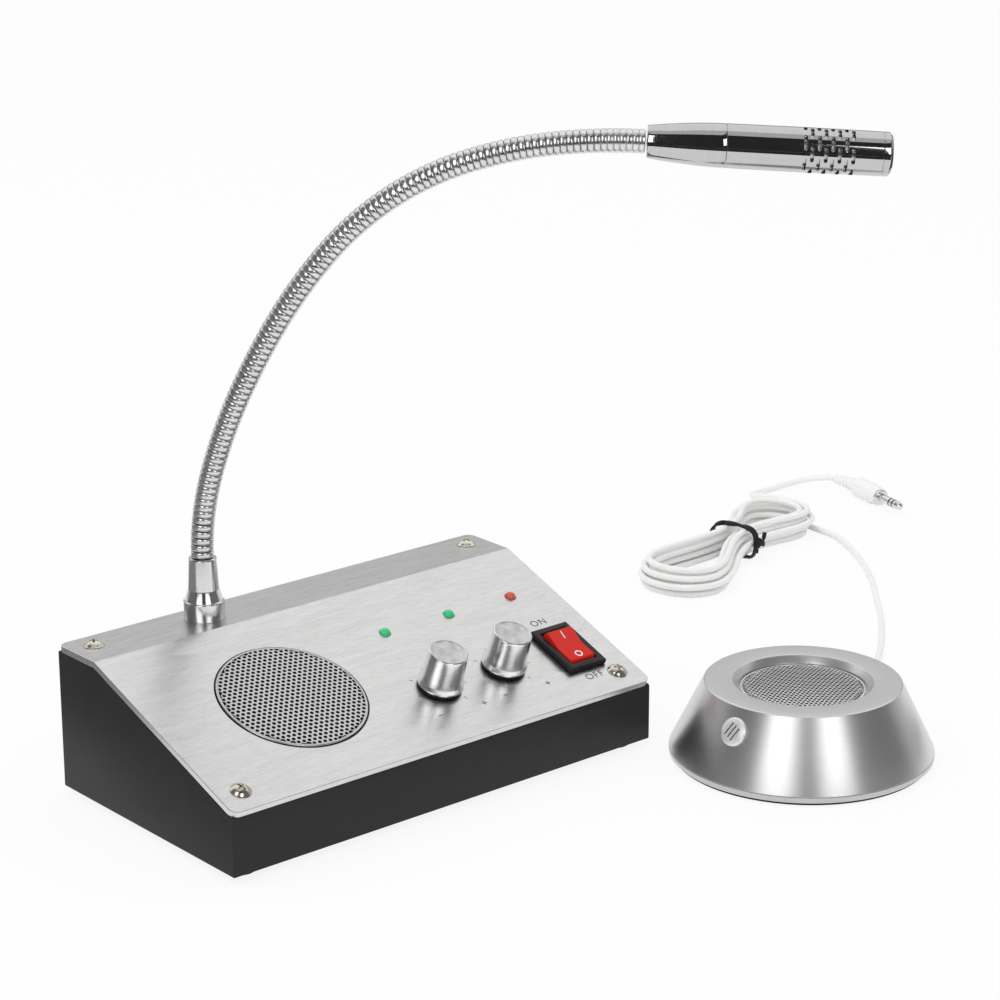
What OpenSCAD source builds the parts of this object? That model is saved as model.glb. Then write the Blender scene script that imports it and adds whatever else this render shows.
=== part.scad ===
// Teller window intercom, a set of two units that stand on one surface.
// The counter console has a sloped aluminium face, a gooseneck microphone, two volume
// knobs, three lamps and a rocker switch. The outer unit is a round speaker with its own
// microphone, on a white cord that is tied in a hank and ends in a 3.5 mm plug.
// Millimetres. +X runs along the console's front, +Y to its back, +Z up from the surface.

/* [Console] */
// Width of the console
console_w = 168; // [160:1:200]
// Depth of the console
console_d = 92.5; // [90:0.5:120]
// Height of the housing at its front, without feet and face plate
front_h = 19; // [17:0.5:24]
// Height of the housing at its back, without feet and face plate
back_h = 45.8; // [44:0.2:60]
// Depth of the flat top behind the slope
top_d = 20.4; // [19:0.2:26]
// Wall of the housing
wall = 2.5; // [2:0.1:3]
// Thickness of the bent face plate
plate_t = 2.1; // [1.5:0.1:3]
// Radius of the face plate's four corners
plate_corner = 3; // [1:0.5:5]
// Distance of the face screws from the edges
screw_inset = 8.2; // [7.5:0.1:10]
// Radius of a face screw's head
screw_head_r = 3.4; // [3:0.1:4]
// Radius of a face screw's thread
screw_r = 1.5; // [1.2:0.05:1.6]
// Radius of a rubber foot
foot_r = 5; // [4:0.5:6]
// Height of the rubber feet
foot_h = 2; // [1.5:0.5:4]
// Distance of a foot's centre from the edges
foot_inset = 8; // [7:0.5:12]

/* [Controls] */
// Distance of the last column of controls from the console's right edge
column_edge = 17.2; // [14.6:0.2:20.6]
// Distance between the three columns of controls
column_step = 26.7; // [24:0.1:27]
// Place of the knobs up the slope
knob_s = 25; // [22:0.5:30]
// Place of the lamps up the slope
lamp_s = 54.6; // [50:0.2:60]
// Place of the rocker switch up the slope
switch_s = 23.8; // [22:0.2:28]
// Height of a knob
knob_h = 14; // [12:0.5:16]
// Radius of a knob at its skirt
knob_skirt_r = 7.55; // [7.3:0.05:8]
// Radius of a knob at its top
knob_top_r = 6.35; // [6:0.05:6.6]
// Radius of a lamp's lens
lamp_r = 1.95; // [1.5:0.05:2.5]
// Width of the switch bezel
bezel_w = 15.2; // [15:0.1:16]
// Length of the switch bezel up the slope
bezel_l = 21.6; // [21:0.1:23]
// Height of the switch bezel over the plate
bezel_h = 2; // [1.5:0.1:2.5]
// Tilt of the rocker to each side of level
rocker_tilt = 8; // [6:0.5:9]

/* [Console speaker] */
// Place of the console speaker along the console
speaker_x = 49.1; // [44:0.5:52]
// Place of the console speaker up the slope
speaker_s = 39.2; // [38:0.2:42]
// Radius of the round perforated grille
grille_r = 24.15; // [20:0.05:25]
// Distance between the holes of both grilles
hole_step = 3.3; // [3:0.1:4]
// Width of a grille hole
hole_w = 2.2; // [1.5:0.1:2.4]

/* [Gooseneck] */
// Place of the gooseneck along the console
collar_x = 49.5; // [40:0.5:128]
// Distance of the gooseneck from the console's back
collar_back = 9.4; // [9:0.1:10]
// Height of the collar over the plate
collar_h = 20.4; // [18:0.2:24]
// Radius of the collar's foot ring
collar_foot_r = 6.7; // [6.5:0.1:7]
// Outer radius of the gooseneck
neck_r = 3.75; // [3.6:0.05:4]
// Length of one of the eight lengths of gooseneck
link_l = 27.1; // [24:0.1:29]
// Ribs on each length of gooseneck
link_ribs = 10; // [6:1:12]
// Direction in which the gooseneck leans, turned from +X
neck_heading = -40.3; // [-60:0.1:-20]
// Bend of each length of gooseneck as it is set in the photograph
link_bends = [15.5, 9, 6.5, 9.5, 16, 16.5, 11.5, 8.7];
// Radius of the ball on the lower end of each length
ball_r = 2.9; // [2.8:0.05:3]
// Radius of the wire channel through the gooseneck
channel_r = 1; // [0.8:0.1:1.4]

/* [Microphone] */
// Length of the microphone
mic_l = 75.6; // [70:0.2:90]
// Largest radius of the microphone barrel
mic_r = 7; // [6.8:0.1:8]
// Radius of the microphone's narrow end at the gooseneck
mic_tail_r = 5.1; // [4.6:0.1:5.4]
// Length of the tapered rear sleeve
sleeve_l = 24.6; // [20:0.2:30]
// Rows of sound slots near the microphone's tip
slot_rows = 8; // [4:1:9]
// Slots in each row
slots_per_row = 6; // [4:1:7]

/* [Outer unit] */
// Place of the outer unit along the console's front direction
outer_x = 199.7; // [199:0.1:204]
// Distance of the outer unit's centre in front of the console's front edge
outer_front = 38.8; // [38:0.2:44]
// Radius of the outer unit at its base
outer_base_r = 43.3; // [42:0.1:45]
// Radius of the outer unit's flat top
outer_top_r = 32.2; // [30:0.1:35]
// Height of the outer unit
outer_h = 26; // [25:0.5:32]
// Radius of the recess round the outer grille
recess_r = 23; // [22.5:0.1:25]
// Radius of the outer grille
outer_grille_r = 20.5; // [19:0.1:20.8]
// Wall of the outer shell
shell_wall = 2.2; // [1.6:0.1:3]
// Radius of the outer microphone's cap
cap_r = 4.65; // [4.2:0.05:5.5]
// Direction in which the outer microphone faces, turned from +X
cap_heading = 187; // [180:1:230]
// Direction in which the cord leaves the outer unit, turned from +X
cord_heading = 25; // [10:1:40]

/* [Cord] */
// Diameter of the white cord
cord_d = 2.4; // [2:0.1:2.6]
// Turns of cord in each layer of the hank
hank_turns = 2; // [1:1:3]
// Radius of the plug's pin, a 3.5 mm stereo plug
pin_r = 1.75; // [1.7:0.05:1.8]
// Length of the plug's pin
pin_l = 14; // [13:0.5:15]
// Radius of the plug's body
plug_r = 4.1; // [3.5:0.1:4.5]
// Length of the plug's body
plug_l = 17; // [12:0.5:18]

/* [Hidden] */
$fn = 64;

eps = 0.01;
// Running clearance of shafts, screws and nested sleeves
fit = 0.05;
// Clearance of holes round what passes through them
hole_gap = 0.1;

// Colours
housing_black = "#343434";
brushed_silver = "#c9c9c7";
bright_chrome = "#d6d6d6";
satin_silver = "#b9b9b9";
grille_grey = "#8e8e8e";
cord_white = "#ececec";
moulded_black = "#1c1c1c";

// Origin of the part under the middle of everything that is not cord
outer_y = -outer_front;
origin_x = (outer_x + outer_base_r) / 2;
origin_y = (outer_y - outer_base_r + console_d) / 2;

module place() translate([-origin_x, -origin_y, 0]) children();

// Sloped face: s runs up the slope from the housing's front edge, h outwards from the plate
slope_a = atan((back_h - front_h) / (console_d - top_d));
plate_top = foot_h + back_h + plate_t;

// Place of the first column of controls along the console
column_x = console_w - column_edge - 2 * column_step;

module on_slope(x, s, h = 0)
    place() translate([x, 0, foot_h + front_h]) rotate([slope_a, 0, 0])
        translate([0, s, plate_t + h]) children();

module on_top(x, y) place() translate([x, y, plate_top]) children();

module ring(r, inner, h) difference() {
    cylinder(r = r, h = h);
    translate([0, 0, -eps]) cylinder(r = inner, h = h + 2 * eps);
}

// ---- Face screws: two on the slope, two on the flat top
screw_l = 8;
boss_r = 4;
boss_l = 60;
screw_hole = screw_r + hole_gap;

module at_screws(h = 0) {
    for (x = [screw_inset, console_w - screw_inset]) {
        on_slope(x, screw_inset, h) children();
        on_top(x, console_d - screw_inset) translate([0, 0, h]) children();
    }
}

// ---- Housing
module side_profile() polygon([
    [0, 0], [console_d, 0], [console_d, back_h], [console_d - top_d, back_h], [0, front_h]]);

module along_x(from, to)
    translate([from, 0, 0]) rotate([90, 0, 90]) linear_extrude(to - from) children();

module cavity_profile() polygon([
    [wall, wall], [console_d - wall, wall], [console_d - wall, back_h + wall],
    [console_d - top_d, back_h + wall], [wall, front_h + wall]]);

// Back wall sockets, seen from behind
dc_x = console_w - 56;
jack_x = console_w - 36;
socket_z = foot_h + 14;
dc_r = 5;
jack_r = 3.6;

module base_housing() color(housing_black) difference() {
    union() {
        difference() {
            place() translate([0, 0, foot_h]) along_x(0, console_w) side_profile();
            place() translate([0, 0, foot_h]) along_x(wall, console_w - wall) cavity_profile();
        }
        intersection() {
            place() translate([0, 0, foot_h]) along_x(eps, console_w - eps) side_profile();
            at_screws(-plate_t - boss_l) cylinder(r = boss_r, h = boss_l);
        }
    }
    at_screws(-plate_t - screw_l) cylinder(r = screw_hole, h = screw_l + 1);
    for (socket = [[dc_x, dc_r], [jack_x, jack_r]])
        place() translate([socket[0], console_d + 1, socket_z]) rotate([90, 0, 0])
            cylinder(r = socket[1] + hole_gap, h = wall + 2);
}

// ---- Face plate, one sheet bent where the slope meets the top
module plate_profile() {
    bend_shift = plate_t * tan(slope_a / 2);
    polygon([
        [0, front_h], [console_d - top_d, back_h], [console_d, back_h],
        [console_d, back_h + plate_t], [console_d - top_d - bend_shift, back_h + plate_t],
        [-plate_t * sin(slope_a), front_h + plate_t * cos(slope_a)]]);
}

// Waste outside a rounded corner at the origin, with the plate towards +X and +Y
corner_over = 0.1;
module corner_waste() translate([0, 0, -plate_t - 1]) linear_extrude(plate_t + 2)
    polygon(concat(
        [[-1, -1], [plate_corner * 1.2, -corner_over]],
        [for (a = [15 : 15 : 75]) plate_corner * [1 - sin(a), 1 - cos(a)]],
        [[-corner_over, plate_corner * 1.2]]));

// Switch opening and knob bushing hole follow the parts that pass through
body_w = bezel_w - 2.3;
body_l = bezel_l - 2.5;
bushing_r = 3.5;
collar_y = console_d - collar_back;
stem_r = 4;

module face_plate() color(brushed_silver) difference() {
    place() translate([0, 0, foot_h]) along_x(0, console_w) plate_profile();
    for (side = [0, 1]) {
        on_slope(side * console_w, 0) mirror([side, 0, 0]) corner_waste();
        on_top(side * console_w, console_d) mirror([0, 1, 0]) mirror([side, 0, 0])
            corner_waste();
    }
    at_screws(-plate_t - 1) cylinder(r = screw_hole, h = plate_t + 2);
    on_slope(speaker_x, speaker_s, -plate_t - 1)
        cylinder(r = grille_r + grille_gap, h = plate_t + 2);
    for (i = [0 : 2])
        on_slope(column_x + i * column_step, lamp_s, -plate_t - 1)
            cylinder(r = lamp_r + hole_gap, h = plate_t + 2);
    for (i = [0 : 1])
        on_slope(column_x + i * column_step, knob_s, -plate_t - 1)
            cylinder(r = bushing_r + hole_gap, h = plate_t + 2);
    on_slope(column_x + 2 * column_step, switch_s, -plate_t - 1)
        translate([-body_w / 2 - hole_gap, -body_l / 2 - hole_gap, 0])
            cube([body_w + 2 * hole_gap, body_l + 2 * hole_gap, plate_t + 2]);
    on_top(collar_x, collar_y) translate([0, 0, -plate_t - 1])
        cylinder(r = stem_r + hole_gap, h = plate_t + 2);
}

// Domed cross-head screw, standing on z = 0 with its thread below
module cross_screw(head_r, head_h, shaft_r, shaft_l) difference() {
    dome_r = (head_r * head_r + head_h * head_h) / (2 * head_h);
    union() {
        intersection() {
            translate([0, 0, head_h - dome_r]) sphere(r = dome_r);
            cylinder(r = head_r, h = head_h);
        }
        translate([0, 0, -shaft_l]) cylinder(r = shaft_r, h = shaft_l + eps);
    }
    for (turn = [0, 90])
        rotate([0, 0, turn]) translate([-head_r * 0.55, -head_r * 0.12, head_h - 0.9])
            cube([head_r * 1.1, head_r * 0.24, 1]);
}

screw_head_h = 1.8;
module face_screws() color(bright_chrome)
    at_screws() cross_screw(screw_head_r, screw_head_h, screw_r, plate_t + screw_l - 1);

module rubber_feet() color(moulded_black) place()
    for (x = [foot_inset, console_w - foot_inset])
        for (y = [foot_inset, console_d - foot_inset])
            translate([x, y, 0]) rotate_extrude()
                polygon([[0, 0], [foot_r - 0.5, 0], [foot_r, 0.5], [foot_r, foot_h], [0, foot_h]]);

// ---- Grilles: a disc with a field of hexagonal holes inside a plain rim
grille_t = 1;
grille_gap = 0.45;
rim_w = 1.6;

module hole_field(r) {
    row_h = hole_step * sin(60);
    rows = floor(r / row_h);
    cols = floor(r / hole_step) + 1;
    for (row = [-rows : rows], col = [-cols : cols]) {
        x = (col + (row % 2 == 0 ? 0 : 0.5)) * hole_step;
        y = row * row_h;
        if (norm([x, y]) < r - rim_w - hole_w / 2) translate([x, y]) rotate([0, 0, 30])
            circle(d = hole_w, $fn = 6);
    }
}

module grille_disc(r) {
    linear_extrude(grille_t) difference() {
        circle(r = r);
        hole_field(r);
    }
}

// The console grille fills the plate's opening and stands a little proud of it
module console_grille() color(grille_grey)
    on_slope(speaker_x, speaker_s, -plate_t) {
        ring(grille_r, grille_r - rim_w, plate_t);
        translate([0, 0, plate_t - 0.4]) grille_disc(grille_r);
    }

// ---- Console loudspeaker, hung under the plate by its flange
flange_r = 26;
flange_t = 1.2;
basket_l = 11;
magnet_r = 13;
magnet_l = 7;
basket_wall = 1;
cone_inset = 1.45;

module basket(flange, mouth, depth, back) {
    rotate_extrude() polygon([
        [mouth, 0], [flange, 0], [flange, -flange_t], [mouth + 1, -flange_t],
        [back, -depth], [channel_r, -depth], [channel_r, -depth + basket_wall],
        [back - 1, -depth + basket_wall], [mouth - 0.6, -flange_t]]);
}

module cone(mouth, depth, coil) {
    rotate_extrude() polygon([
        [mouth, 0], [mouth, -0.5], [mouth - 2, -0.9], [coil, -depth + 1], [coil, -depth],
        [coil - 1, -depth], [coil - 1, -depth + 2.2], [0, -depth + 3.4], [0, -depth + 4],
        [coil, -depth + 2.4], [mouth - 2, 0]]);
}

module driver_basket() color(housing_black)
    on_slope(speaker_x, speaker_s, -plate_t) basket(flange_r, grille_r - rim_w, basket_l, magnet_r - 3);

module driver_magnet() color("#505050")
    on_slope(speaker_x, speaker_s, -plate_t - basket_l - magnet_l)
        ring(magnet_r, channel_r, magnet_l);

module driver_cone() color("#2b2b2b")
    on_slope(speaker_x, speaker_s, -plate_t - flange_t)
        cone(grille_r - rim_w - cone_inset, basket_l - flange_t - basket_wall, 6);

// ---- Lamps stand on their leads and look through the plate
pot_l = 7;
board_t = 1.6;
board_top = -plate_t - pot_l;
lamp_dome = 1.6;
lamp_collar = 0.4;
lead_r = 0.3;

module lamp(i, tint) color(tint)
    on_slope(column_x + i * column_step, lamp_s) {
        lens_low = -plate_t - 1;
        translate([0, 0, lens_low]) cylinder(r = lamp_r, h = lamp_dome - lens_low - lamp_r);
        translate([0, 0, lamp_dome - lamp_r]) sphere(r = lamp_r);
        translate([0, 0, lens_low]) cylinder(r = lamp_r + lamp_collar, h = 0.9);
        for (side = [-1, 1])
            translate([side * 1.27, 0, board_top])
                cylinder(r = lead_r, h = lens_low - board_top + 0.5);
    }

module lamp_inside() lamp(0, "#35b56a");
module lamp_outside() lamp(1, "#35b56a");
module lamp_power() lamp(2, "#b02a24");

// ---- Volume controls: pot, nut, shaft, black core and bright aluminium knob
pot_r = 8.2;
shaft_r = 3;
bushing_top = 4.5;
nut_flat = 9;
nut_h = 2;
knob_gap = 0.5;
core_t = 0.6;
core_r = 6.2;
core_step = 3.2;
hub_r = 5;
shaft_top = knob_h - 2.2;

module at_knob(i, h = 0) on_slope(column_x + i * column_step, knob_s, h) children();

module pot(i) color("#a9a9a4") difference() {
    union() {
        at_knob(i, board_top) cylinder(r = pot_r, h = pot_l);
        at_knob(i, -plate_t - eps) cylinder(r = bushing_r, h = plate_t + bushing_top + eps);
    }
    at_knob(i, -plate_t - pot_l + 1.5) cylinder(r = shaft_r + fit, h = 30);
}

module pot_inside() pot(0);
module pot_outside() pot(1);

module pot_nuts() color(bright_chrome)
    for (i = [0 : 1]) at_knob(i) difference() {
        cylinder(d = nut_flat / cos(30), h = nut_h, $fn = 6);
        translate([0, 0, -1]) cylinder(r = bushing_r + fit, h = nut_h + 2);
    }

module pot_shaft(i) color(bright_chrome) at_knob(i, -plate_t - pot_l + 2)
    difference() {
        shaft_l = shaft_top + plate_t + pot_l - 2;
        cylinder(r = shaft_r, h = shaft_l);
        translate([shaft_r - 1.5, -shaft_r, shaft_l - 6]) cube([shaft_r, 2 * shaft_r, 7]);
    }

module pot_shaft_inside() pot_shaft(0);
module pot_shaft_outside() pot_shaft(1);

// Black moulded core: its flange is the dark line under the knob
module knob_core(i) color(moulded_black) at_knob(i) rotate_extrude() polygon([
    [nut_flat / cos(30) / 2 + 0.3, knob_gap], [knob_skirt_r - 0.2, knob_gap],
    [knob_skirt_r - 0.2, knob_gap + core_t], [core_r, knob_gap + core_t],
    [core_r, core_step], [hub_r, core_step], [hub_r, shaft_top + 0.3],
    [shaft_r + fit, shaft_top + 0.3], [shaft_r + fit, bushing_top + 0.4],
    [bushing_r + 0.4, bushing_top + 0.4], [bushing_r + 0.4, nut_h + 0.3],
    [nut_flat / cos(30) / 2 + 0.3, nut_h + 0.3]]);

module knob_core_inside() knob_core(0);
module knob_core_outside() knob_core(1);

// Turned knob: flared skirt, slightly tapered side, shallow dish in the top
skirt_h = 4.5;
edge = 0.4;
module knob(i) color(bright_chrome) at_knob(i) rotate_extrude() polygon([
    [core_r + fit, knob_gap + core_t + fit], [knob_skirt_r, knob_gap + core_t + fit],
    [knob_skirt_r - 0.1, knob_gap + 1.4], [knob_top_r + 0.45, skirt_h],
    [knob_top_r, knob_h - edge], [knob_top_r - edge, knob_h],
    [knob_top_r - 3 * edge, knob_h], [knob_top_r - 3.5 * edge, knob_h - 0.2],
    [0, knob_h - 0.3], [0, shaft_top + 0.3 + fit], [hub_r + fit, shaft_top + 0.3 + fit],
    [hub_r + fit, core_step + fit], [core_r + fit, core_step + fit]]);

module knob_inside() knob(0);
module knob_outside() knob(1);

// ---- Rocker switch
rocker_w = bezel_w - 4.8;
rocker_r = 8.2;
pivot_h = -1.5;
pin_reach = 0.7;
rocker_rest = 0.3;
chamber_r = rocker_r + rocker_rest;

module at_switch(h = 0) on_slope(column_x + 2 * column_step, switch_s, h) children();

module switch_frame() color(moulded_black) at_switch() difference() {
    chamber_d = pivot_h - 5.5;
    union() {
        translate([-bezel_w / 2, -bezel_l / 2, 0]) cube([bezel_w, bezel_l, bezel_h]);
        translate([-body_w / 2, -body_l / 2, chamber_d - 4])
            cube([body_w, body_l, 4 - chamber_d + eps]);
    }
    translate([-rocker_w / 2 - rocker_rest, -chamber_r, chamber_d])
        cube([rocker_w + 2 * rocker_rest, 2 * chamber_r, bezel_h - chamber_d + 1]);
    translate([-rocker_w / 2 - rocker_rest - pin_reach, 0, pivot_h]) rotate([0, 90, 0])
        cylinder(r = 1 + fit, h = rocker_w + 2 * (rocker_rest + pin_reach));
}

// The rocker rests with its front end pressed in; its two faces meet in a shallow V
module switch_rocker() color("#d5281c")
    at_switch(pivot_h) rotate([rocker_tilt, 0, 0]) {
        crown = bezel_h - pivot_h + 0.4;
        intersection() {
            translate([-rocker_w / 2, 0, 0]) rotate([0, 90, 0])
                cylinder(r = rocker_r, h = rocker_w);
            translate([-rocker_w / 2, 0, 0]) rotate([90, 0, 90]) linear_extrude(rocker_w)
                polygon([
                    [-rocker_r, -3], [rocker_r, -3],
                    [rocker_r, crown + rocker_r * tan(rocker_tilt)], [0, crown],
                    [-rocker_r, crown + rocker_r * tan(rocker_tilt)]]);
        }
        translate([-rocker_w / 2 - rocker_rest - pin_reach + 0.2, 0, 0]) rotate([0, 90, 0])
            cylinder(r = 1, h = rocker_w + 2 * (rocker_rest + pin_reach) - 0.4);
    }

module switch_tabs() color("#c8a24a") at_switch(pivot_h - 5.5 - 4)
    for (s = [-5, 5]) translate([-2.4, s - 0.4, -6]) cube([4.8, 0.8, 6]);

// ---- Circuit board under the controls, notched round the switch
board_left = column_x - 13.4;
board_low = 12;
board_high = 64;

module main_pcb() color("#2f6b46") difference() {
    board_right = console_w - wall - 2;
    on_slope(board_left, board_low, board_top - board_t)
        cube([board_right - board_left, board_high - board_low, board_t]);
    at_switch(board_top - board_t - 1) translate([-bezel_w / 2 - 1, -25, 0])
        cube([40, 25 + bezel_l / 2 + 1, board_t + 2]);
}

// Finned block on the amplifier, between board and plate
fin_t = 1.2;
fins = 5;
module amp_heatsink() color("#5c5c5c") on_slope(column_x + column_step / 2, 43, board_top) {
    fin_step = 3.2;
    span = (fins - 1) * fin_step + fin_t;
    translate([-span / 2, -4, 0]) cube([span, 8, 2]);
    for (i = [0 : fins - 1])
        translate([-span / 2 + i * fin_step, -4, 1]) cube([fin_t, 8, 4.5]);
}

module capacitors() color("#24324a")
    for (i = [0 : 2])
        on_slope(column_x + 2 * column_step - 2 + i * 6, 42.5, board_top)
            cylinder(r = 2.5, h = 5.8);

// ---- Sockets in the back wall
module at_back(x) place() translate([x, console_d, socket_z]) rotate([-90, 0, 0]) children();

module dc_socket() color(moulded_black) at_back(dc_x) {
    difference() {
        union() {
            translate([0, 0, -11]) cylinder(r = dc_r, h = 11);
            translate([-6, -6, -11 - wall]) cube([12, 12, 11 - 0.3]);
        }
        translate([0, 0, -9.5]) cylinder(r = 2.75, h = 10);
    }
    translate([0, 0, -9.6]) cylinder(r = 1, h = 8.6);
}

jack_depth = 14.5;
jack_bore = 1.8;
module jack_socket() color("#3a3a3a") at_back(jack_x) difference() {
    union() {
        translate([0, 0, -jack_depth]) cylinder(r = jack_r, h = jack_depth);
        translate([-4.5, -4.5, -jack_depth - 1]) cube([9, 9, jack_depth + 1 - wall]);
    }
    translate([0, 0, -jack_depth]) cylinder(r = jack_bore, h = jack_depth + 1);
}

// ---- Gooseneck: a collar and eight ribbed lengths, each on a ball in the one below
hinge_gap = 0.8;
socket_r = ball_r + 0.1;
collar_top = plate_top + collar_h;

function bend_before(j) = j == 0 ? 0 : bend_before(j - 1) + link_bends[j - 1];
function bend_radius(j) = link_l / (link_bends[j] * PI / 180);
function hinge_at(j) = j == 0 ? [0, collar_top + hinge_gap / 2] :
    hinge_at(j - 1) + bend_radius(j - 1) * [
        cos(bend_before(j - 1)) - cos(bend_before(j)),
        sin(bend_before(j)) - sin(bend_before(j - 1))];

// Local z runs along the gooseneck and local x to the inside of its bend
module at_hinge(j)
    place() translate([collar_x, collar_y, 0]) rotate([0, 0, neck_heading])
        translate([hinge_at(j)[0], 0, hinge_at(j)[1]]) rotate([0, bend_before(j), 0])
            children();

// Moves to a distance along length j, turned with its bend
module along_link(j, s) {
    r = bend_radius(j);
    a = s / r * 180 / PI;
    translate([r * (1 - cos(a)), 0, r * sin(a)]) rotate([0, a, 0]) children();
}

module neck_collar() color(bright_chrome)
    place() translate([collar_x, collar_y, plate_top]) difference() {
        foot_z = 6;
        cone_z = 9.7;
        waist_r = 5.05;
        rotate_extrude() polygon([
            [channel_r, -plate_t - 6], [stem_r - 0.4, -plate_t - 6], [stem_r, -plate_t - 5.6],
            [stem_r, 0], [collar_foot_r, 0], [collar_foot_r, foot_z], [waist_r, cone_z],
            [neck_r + 0.75, collar_h - 0.3], [neck_r + 0.45, collar_h], [channel_r, collar_h]]);
        translate([0, 0, collar_h + hinge_gap / 2]) sphere(r = socket_r);
    }

// Nut that clamps the collar's stem under the flat top
nut_t = 3;
module neck_nut() color("#b5b5b0")
    place() translate([collar_x, collar_y, foot_h + back_h - nut_t]) difference() {
        cylinder(r = 6.2, h = nut_t, $fn = 6);
        translate([0, 0, -1]) cylinder(r = stem_r + fit, h = nut_t + 2);
    }

// Part of the ring in which length j bends, between two distances along it
module bent_tube(j, from, to) {
    turn = 180 / PI / bend_radius(j);
    translate([bend_radius(j), 0, 0]) rotate([90, 0, 180]) rotate([0, 0, from * turn])
        rotate_extrude(angle = (to - from) * turn) translate([bend_radius(j), 0]) children();
}

module neck_link(j) color(bright_chrome) at_hinge(j) difference() {
    end = link_l - hinge_gap / 2;
    step = (end - hinge_gap / 2) / link_ribs;
    valley_r = neck_r - 0.35;
    union() {
        bent_tube(j, hinge_gap / 2, end) difference() {
            circle(r = valley_r);
            circle(r = channel_r, $fn = 24);
        }
        difference() {
            sphere(r = ball_r);
            translate([0, 0, -ball_r - 1]) cylinder(r = channel_r + 0.3, h = 2 * ball_r + 2);
        }
        for (i = [0 : link_ribs - 1]) along_link(j, hinge_gap / 2 + (i + 0.5) * step)
            rotate_extrude() polygon([
                [channel_r + 1, -step * 0.46], [valley_r - 0.1, -step * 0.46],
                [neck_r, -step * 0.2], [neck_r, step * 0.2],
                [valley_r - 0.1, step * 0.46], [channel_r + 1, step * 0.46]]);
    }
    along_link(j, link_l) sphere(r = socket_r);
}

module neck_link_1() neck_link(0);
module neck_link_2() neck_link(1);
module neck_link_3() neck_link(2);
module neck_link_4() neck_link(3);
module neck_link_5() neck_link(4);
module neck_link_6() neck_link(5);
module neck_link_7() neck_link(6);
module neck_link_8() neck_link(7);

// ---- Microphone
mic_wall = 1.1;
tail_gap = 0.6;
sleeve_end_r = mic_r - 0.15;
spigot_l = 5;
capsule_l = 6;
tip_round = 1;

// Swelling profile of the sleeve between its tail and the seam
function sleeve_r(z) =
    mic_tail_r + (sleeve_end_r - mic_tail_r) * sin(90 * (z - tail_gap) / (sleeve_l - tail_gap));

module mic_sleeve() color(bright_chrome) at_hinge(8) difference() {
    steps = 6;
    union() {
        sphere(r = ball_r);
        cylinder(r = ball_r - 0.3, h = tail_gap + 1);
        rotate_extrude() polygon(concat(
            [[0, tail_gap]],
            [for (i = [0 : steps]) let (z = tail_gap + i / steps * (sleeve_l - tail_gap))
                [sleeve_r(z), z]],
            [[0, sleeve_l]]));
        translate([0, 0, sleeve_l - eps])
            cylinder(r = mic_r - mic_wall - fit, h = spigot_l + eps);
    }
    translate([0, 0, -ball_r - 1]) cylinder(r = channel_r, h = sleeve_l);
    translate([0, 0, 6]) cylinder(r = mic_tail_r - 2, h = sleeve_l);
}

module mic_barrel() color(bright_chrome) at_hinge(8) difference() {
    mid = (sleeve_l + mic_l) / 2;
    slot_first = mic_l - 27;
    slot_step = 2.1;
    slot_w = 1;
    slot_deep = 3;
    rotate_extrude() polygon([
        [0, sleeve_l], [sleeve_end_r, sleeve_l], [mic_r, mid], [mic_r - 0.15, mic_l - tip_round],
        [mic_r - 0.15 - tip_round, mic_l], [0, mic_l]]);
    translate([0, 0, sleeve_l - 1])
        cylinder(r = mic_r - mic_wall, h = mic_l - sleeve_l + 1 - mic_wall);
    for (row = [0 : slot_rows - 1], i = [0 : slots_per_row - 1])
        translate([0, 0, slot_first + row * slot_step])
            rotate([0, 0, (i + (row % 2) / 2) * 360 / slots_per_row])
                translate([mic_r - mic_wall - 1, -slot_deep / 2, -slot_w / 2])
                    cube([mic_wall + 2, slot_deep, slot_w]);
}

module mic_capsule() color("#3b3b3b") at_hinge(8)
    translate([0, 0, mic_l - mic_wall - capsule_l - 0.1])
        cylinder(r = mic_r - mic_wall - fit, h = capsule_l);

// ---- Outer unit
pad_t = 1;
base_t = 2;
shell_low = pad_t + base_t;
ledge_z = outer_h - 3.4;
ledge_w = 2.2;
driver_z = ledge_z - 1.6;
flare = (outer_base_r - outer_top_r) / (outer_h - shell_low);
side_a = atan(flare);

function shell_r(z) = outer_base_r - flare * (z - shell_low);

module outer_unit() place() translate([outer_x, outer_y, 0]) children();

// Frame on the conical side, local z outwards
module on_side(heading, z) outer_unit() rotate([0, 0, heading])
    translate([shell_r(z), 0, z]) rotate([0, 90 - side_a, 0]) children();

base_screw_r = outer_base_r - 8.5;
base_boss_r = 3;
cap_z = 18.6;
cap_stem_r = 3.6;
grommet_z = 8;
grommet_r = 2.4;

module at_base_screws() outer_unit()
    for (turn = [60 : 120 : 300]) rotate([0, 0, turn])
        translate([base_screw_r, 0, 0]) children();

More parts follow.
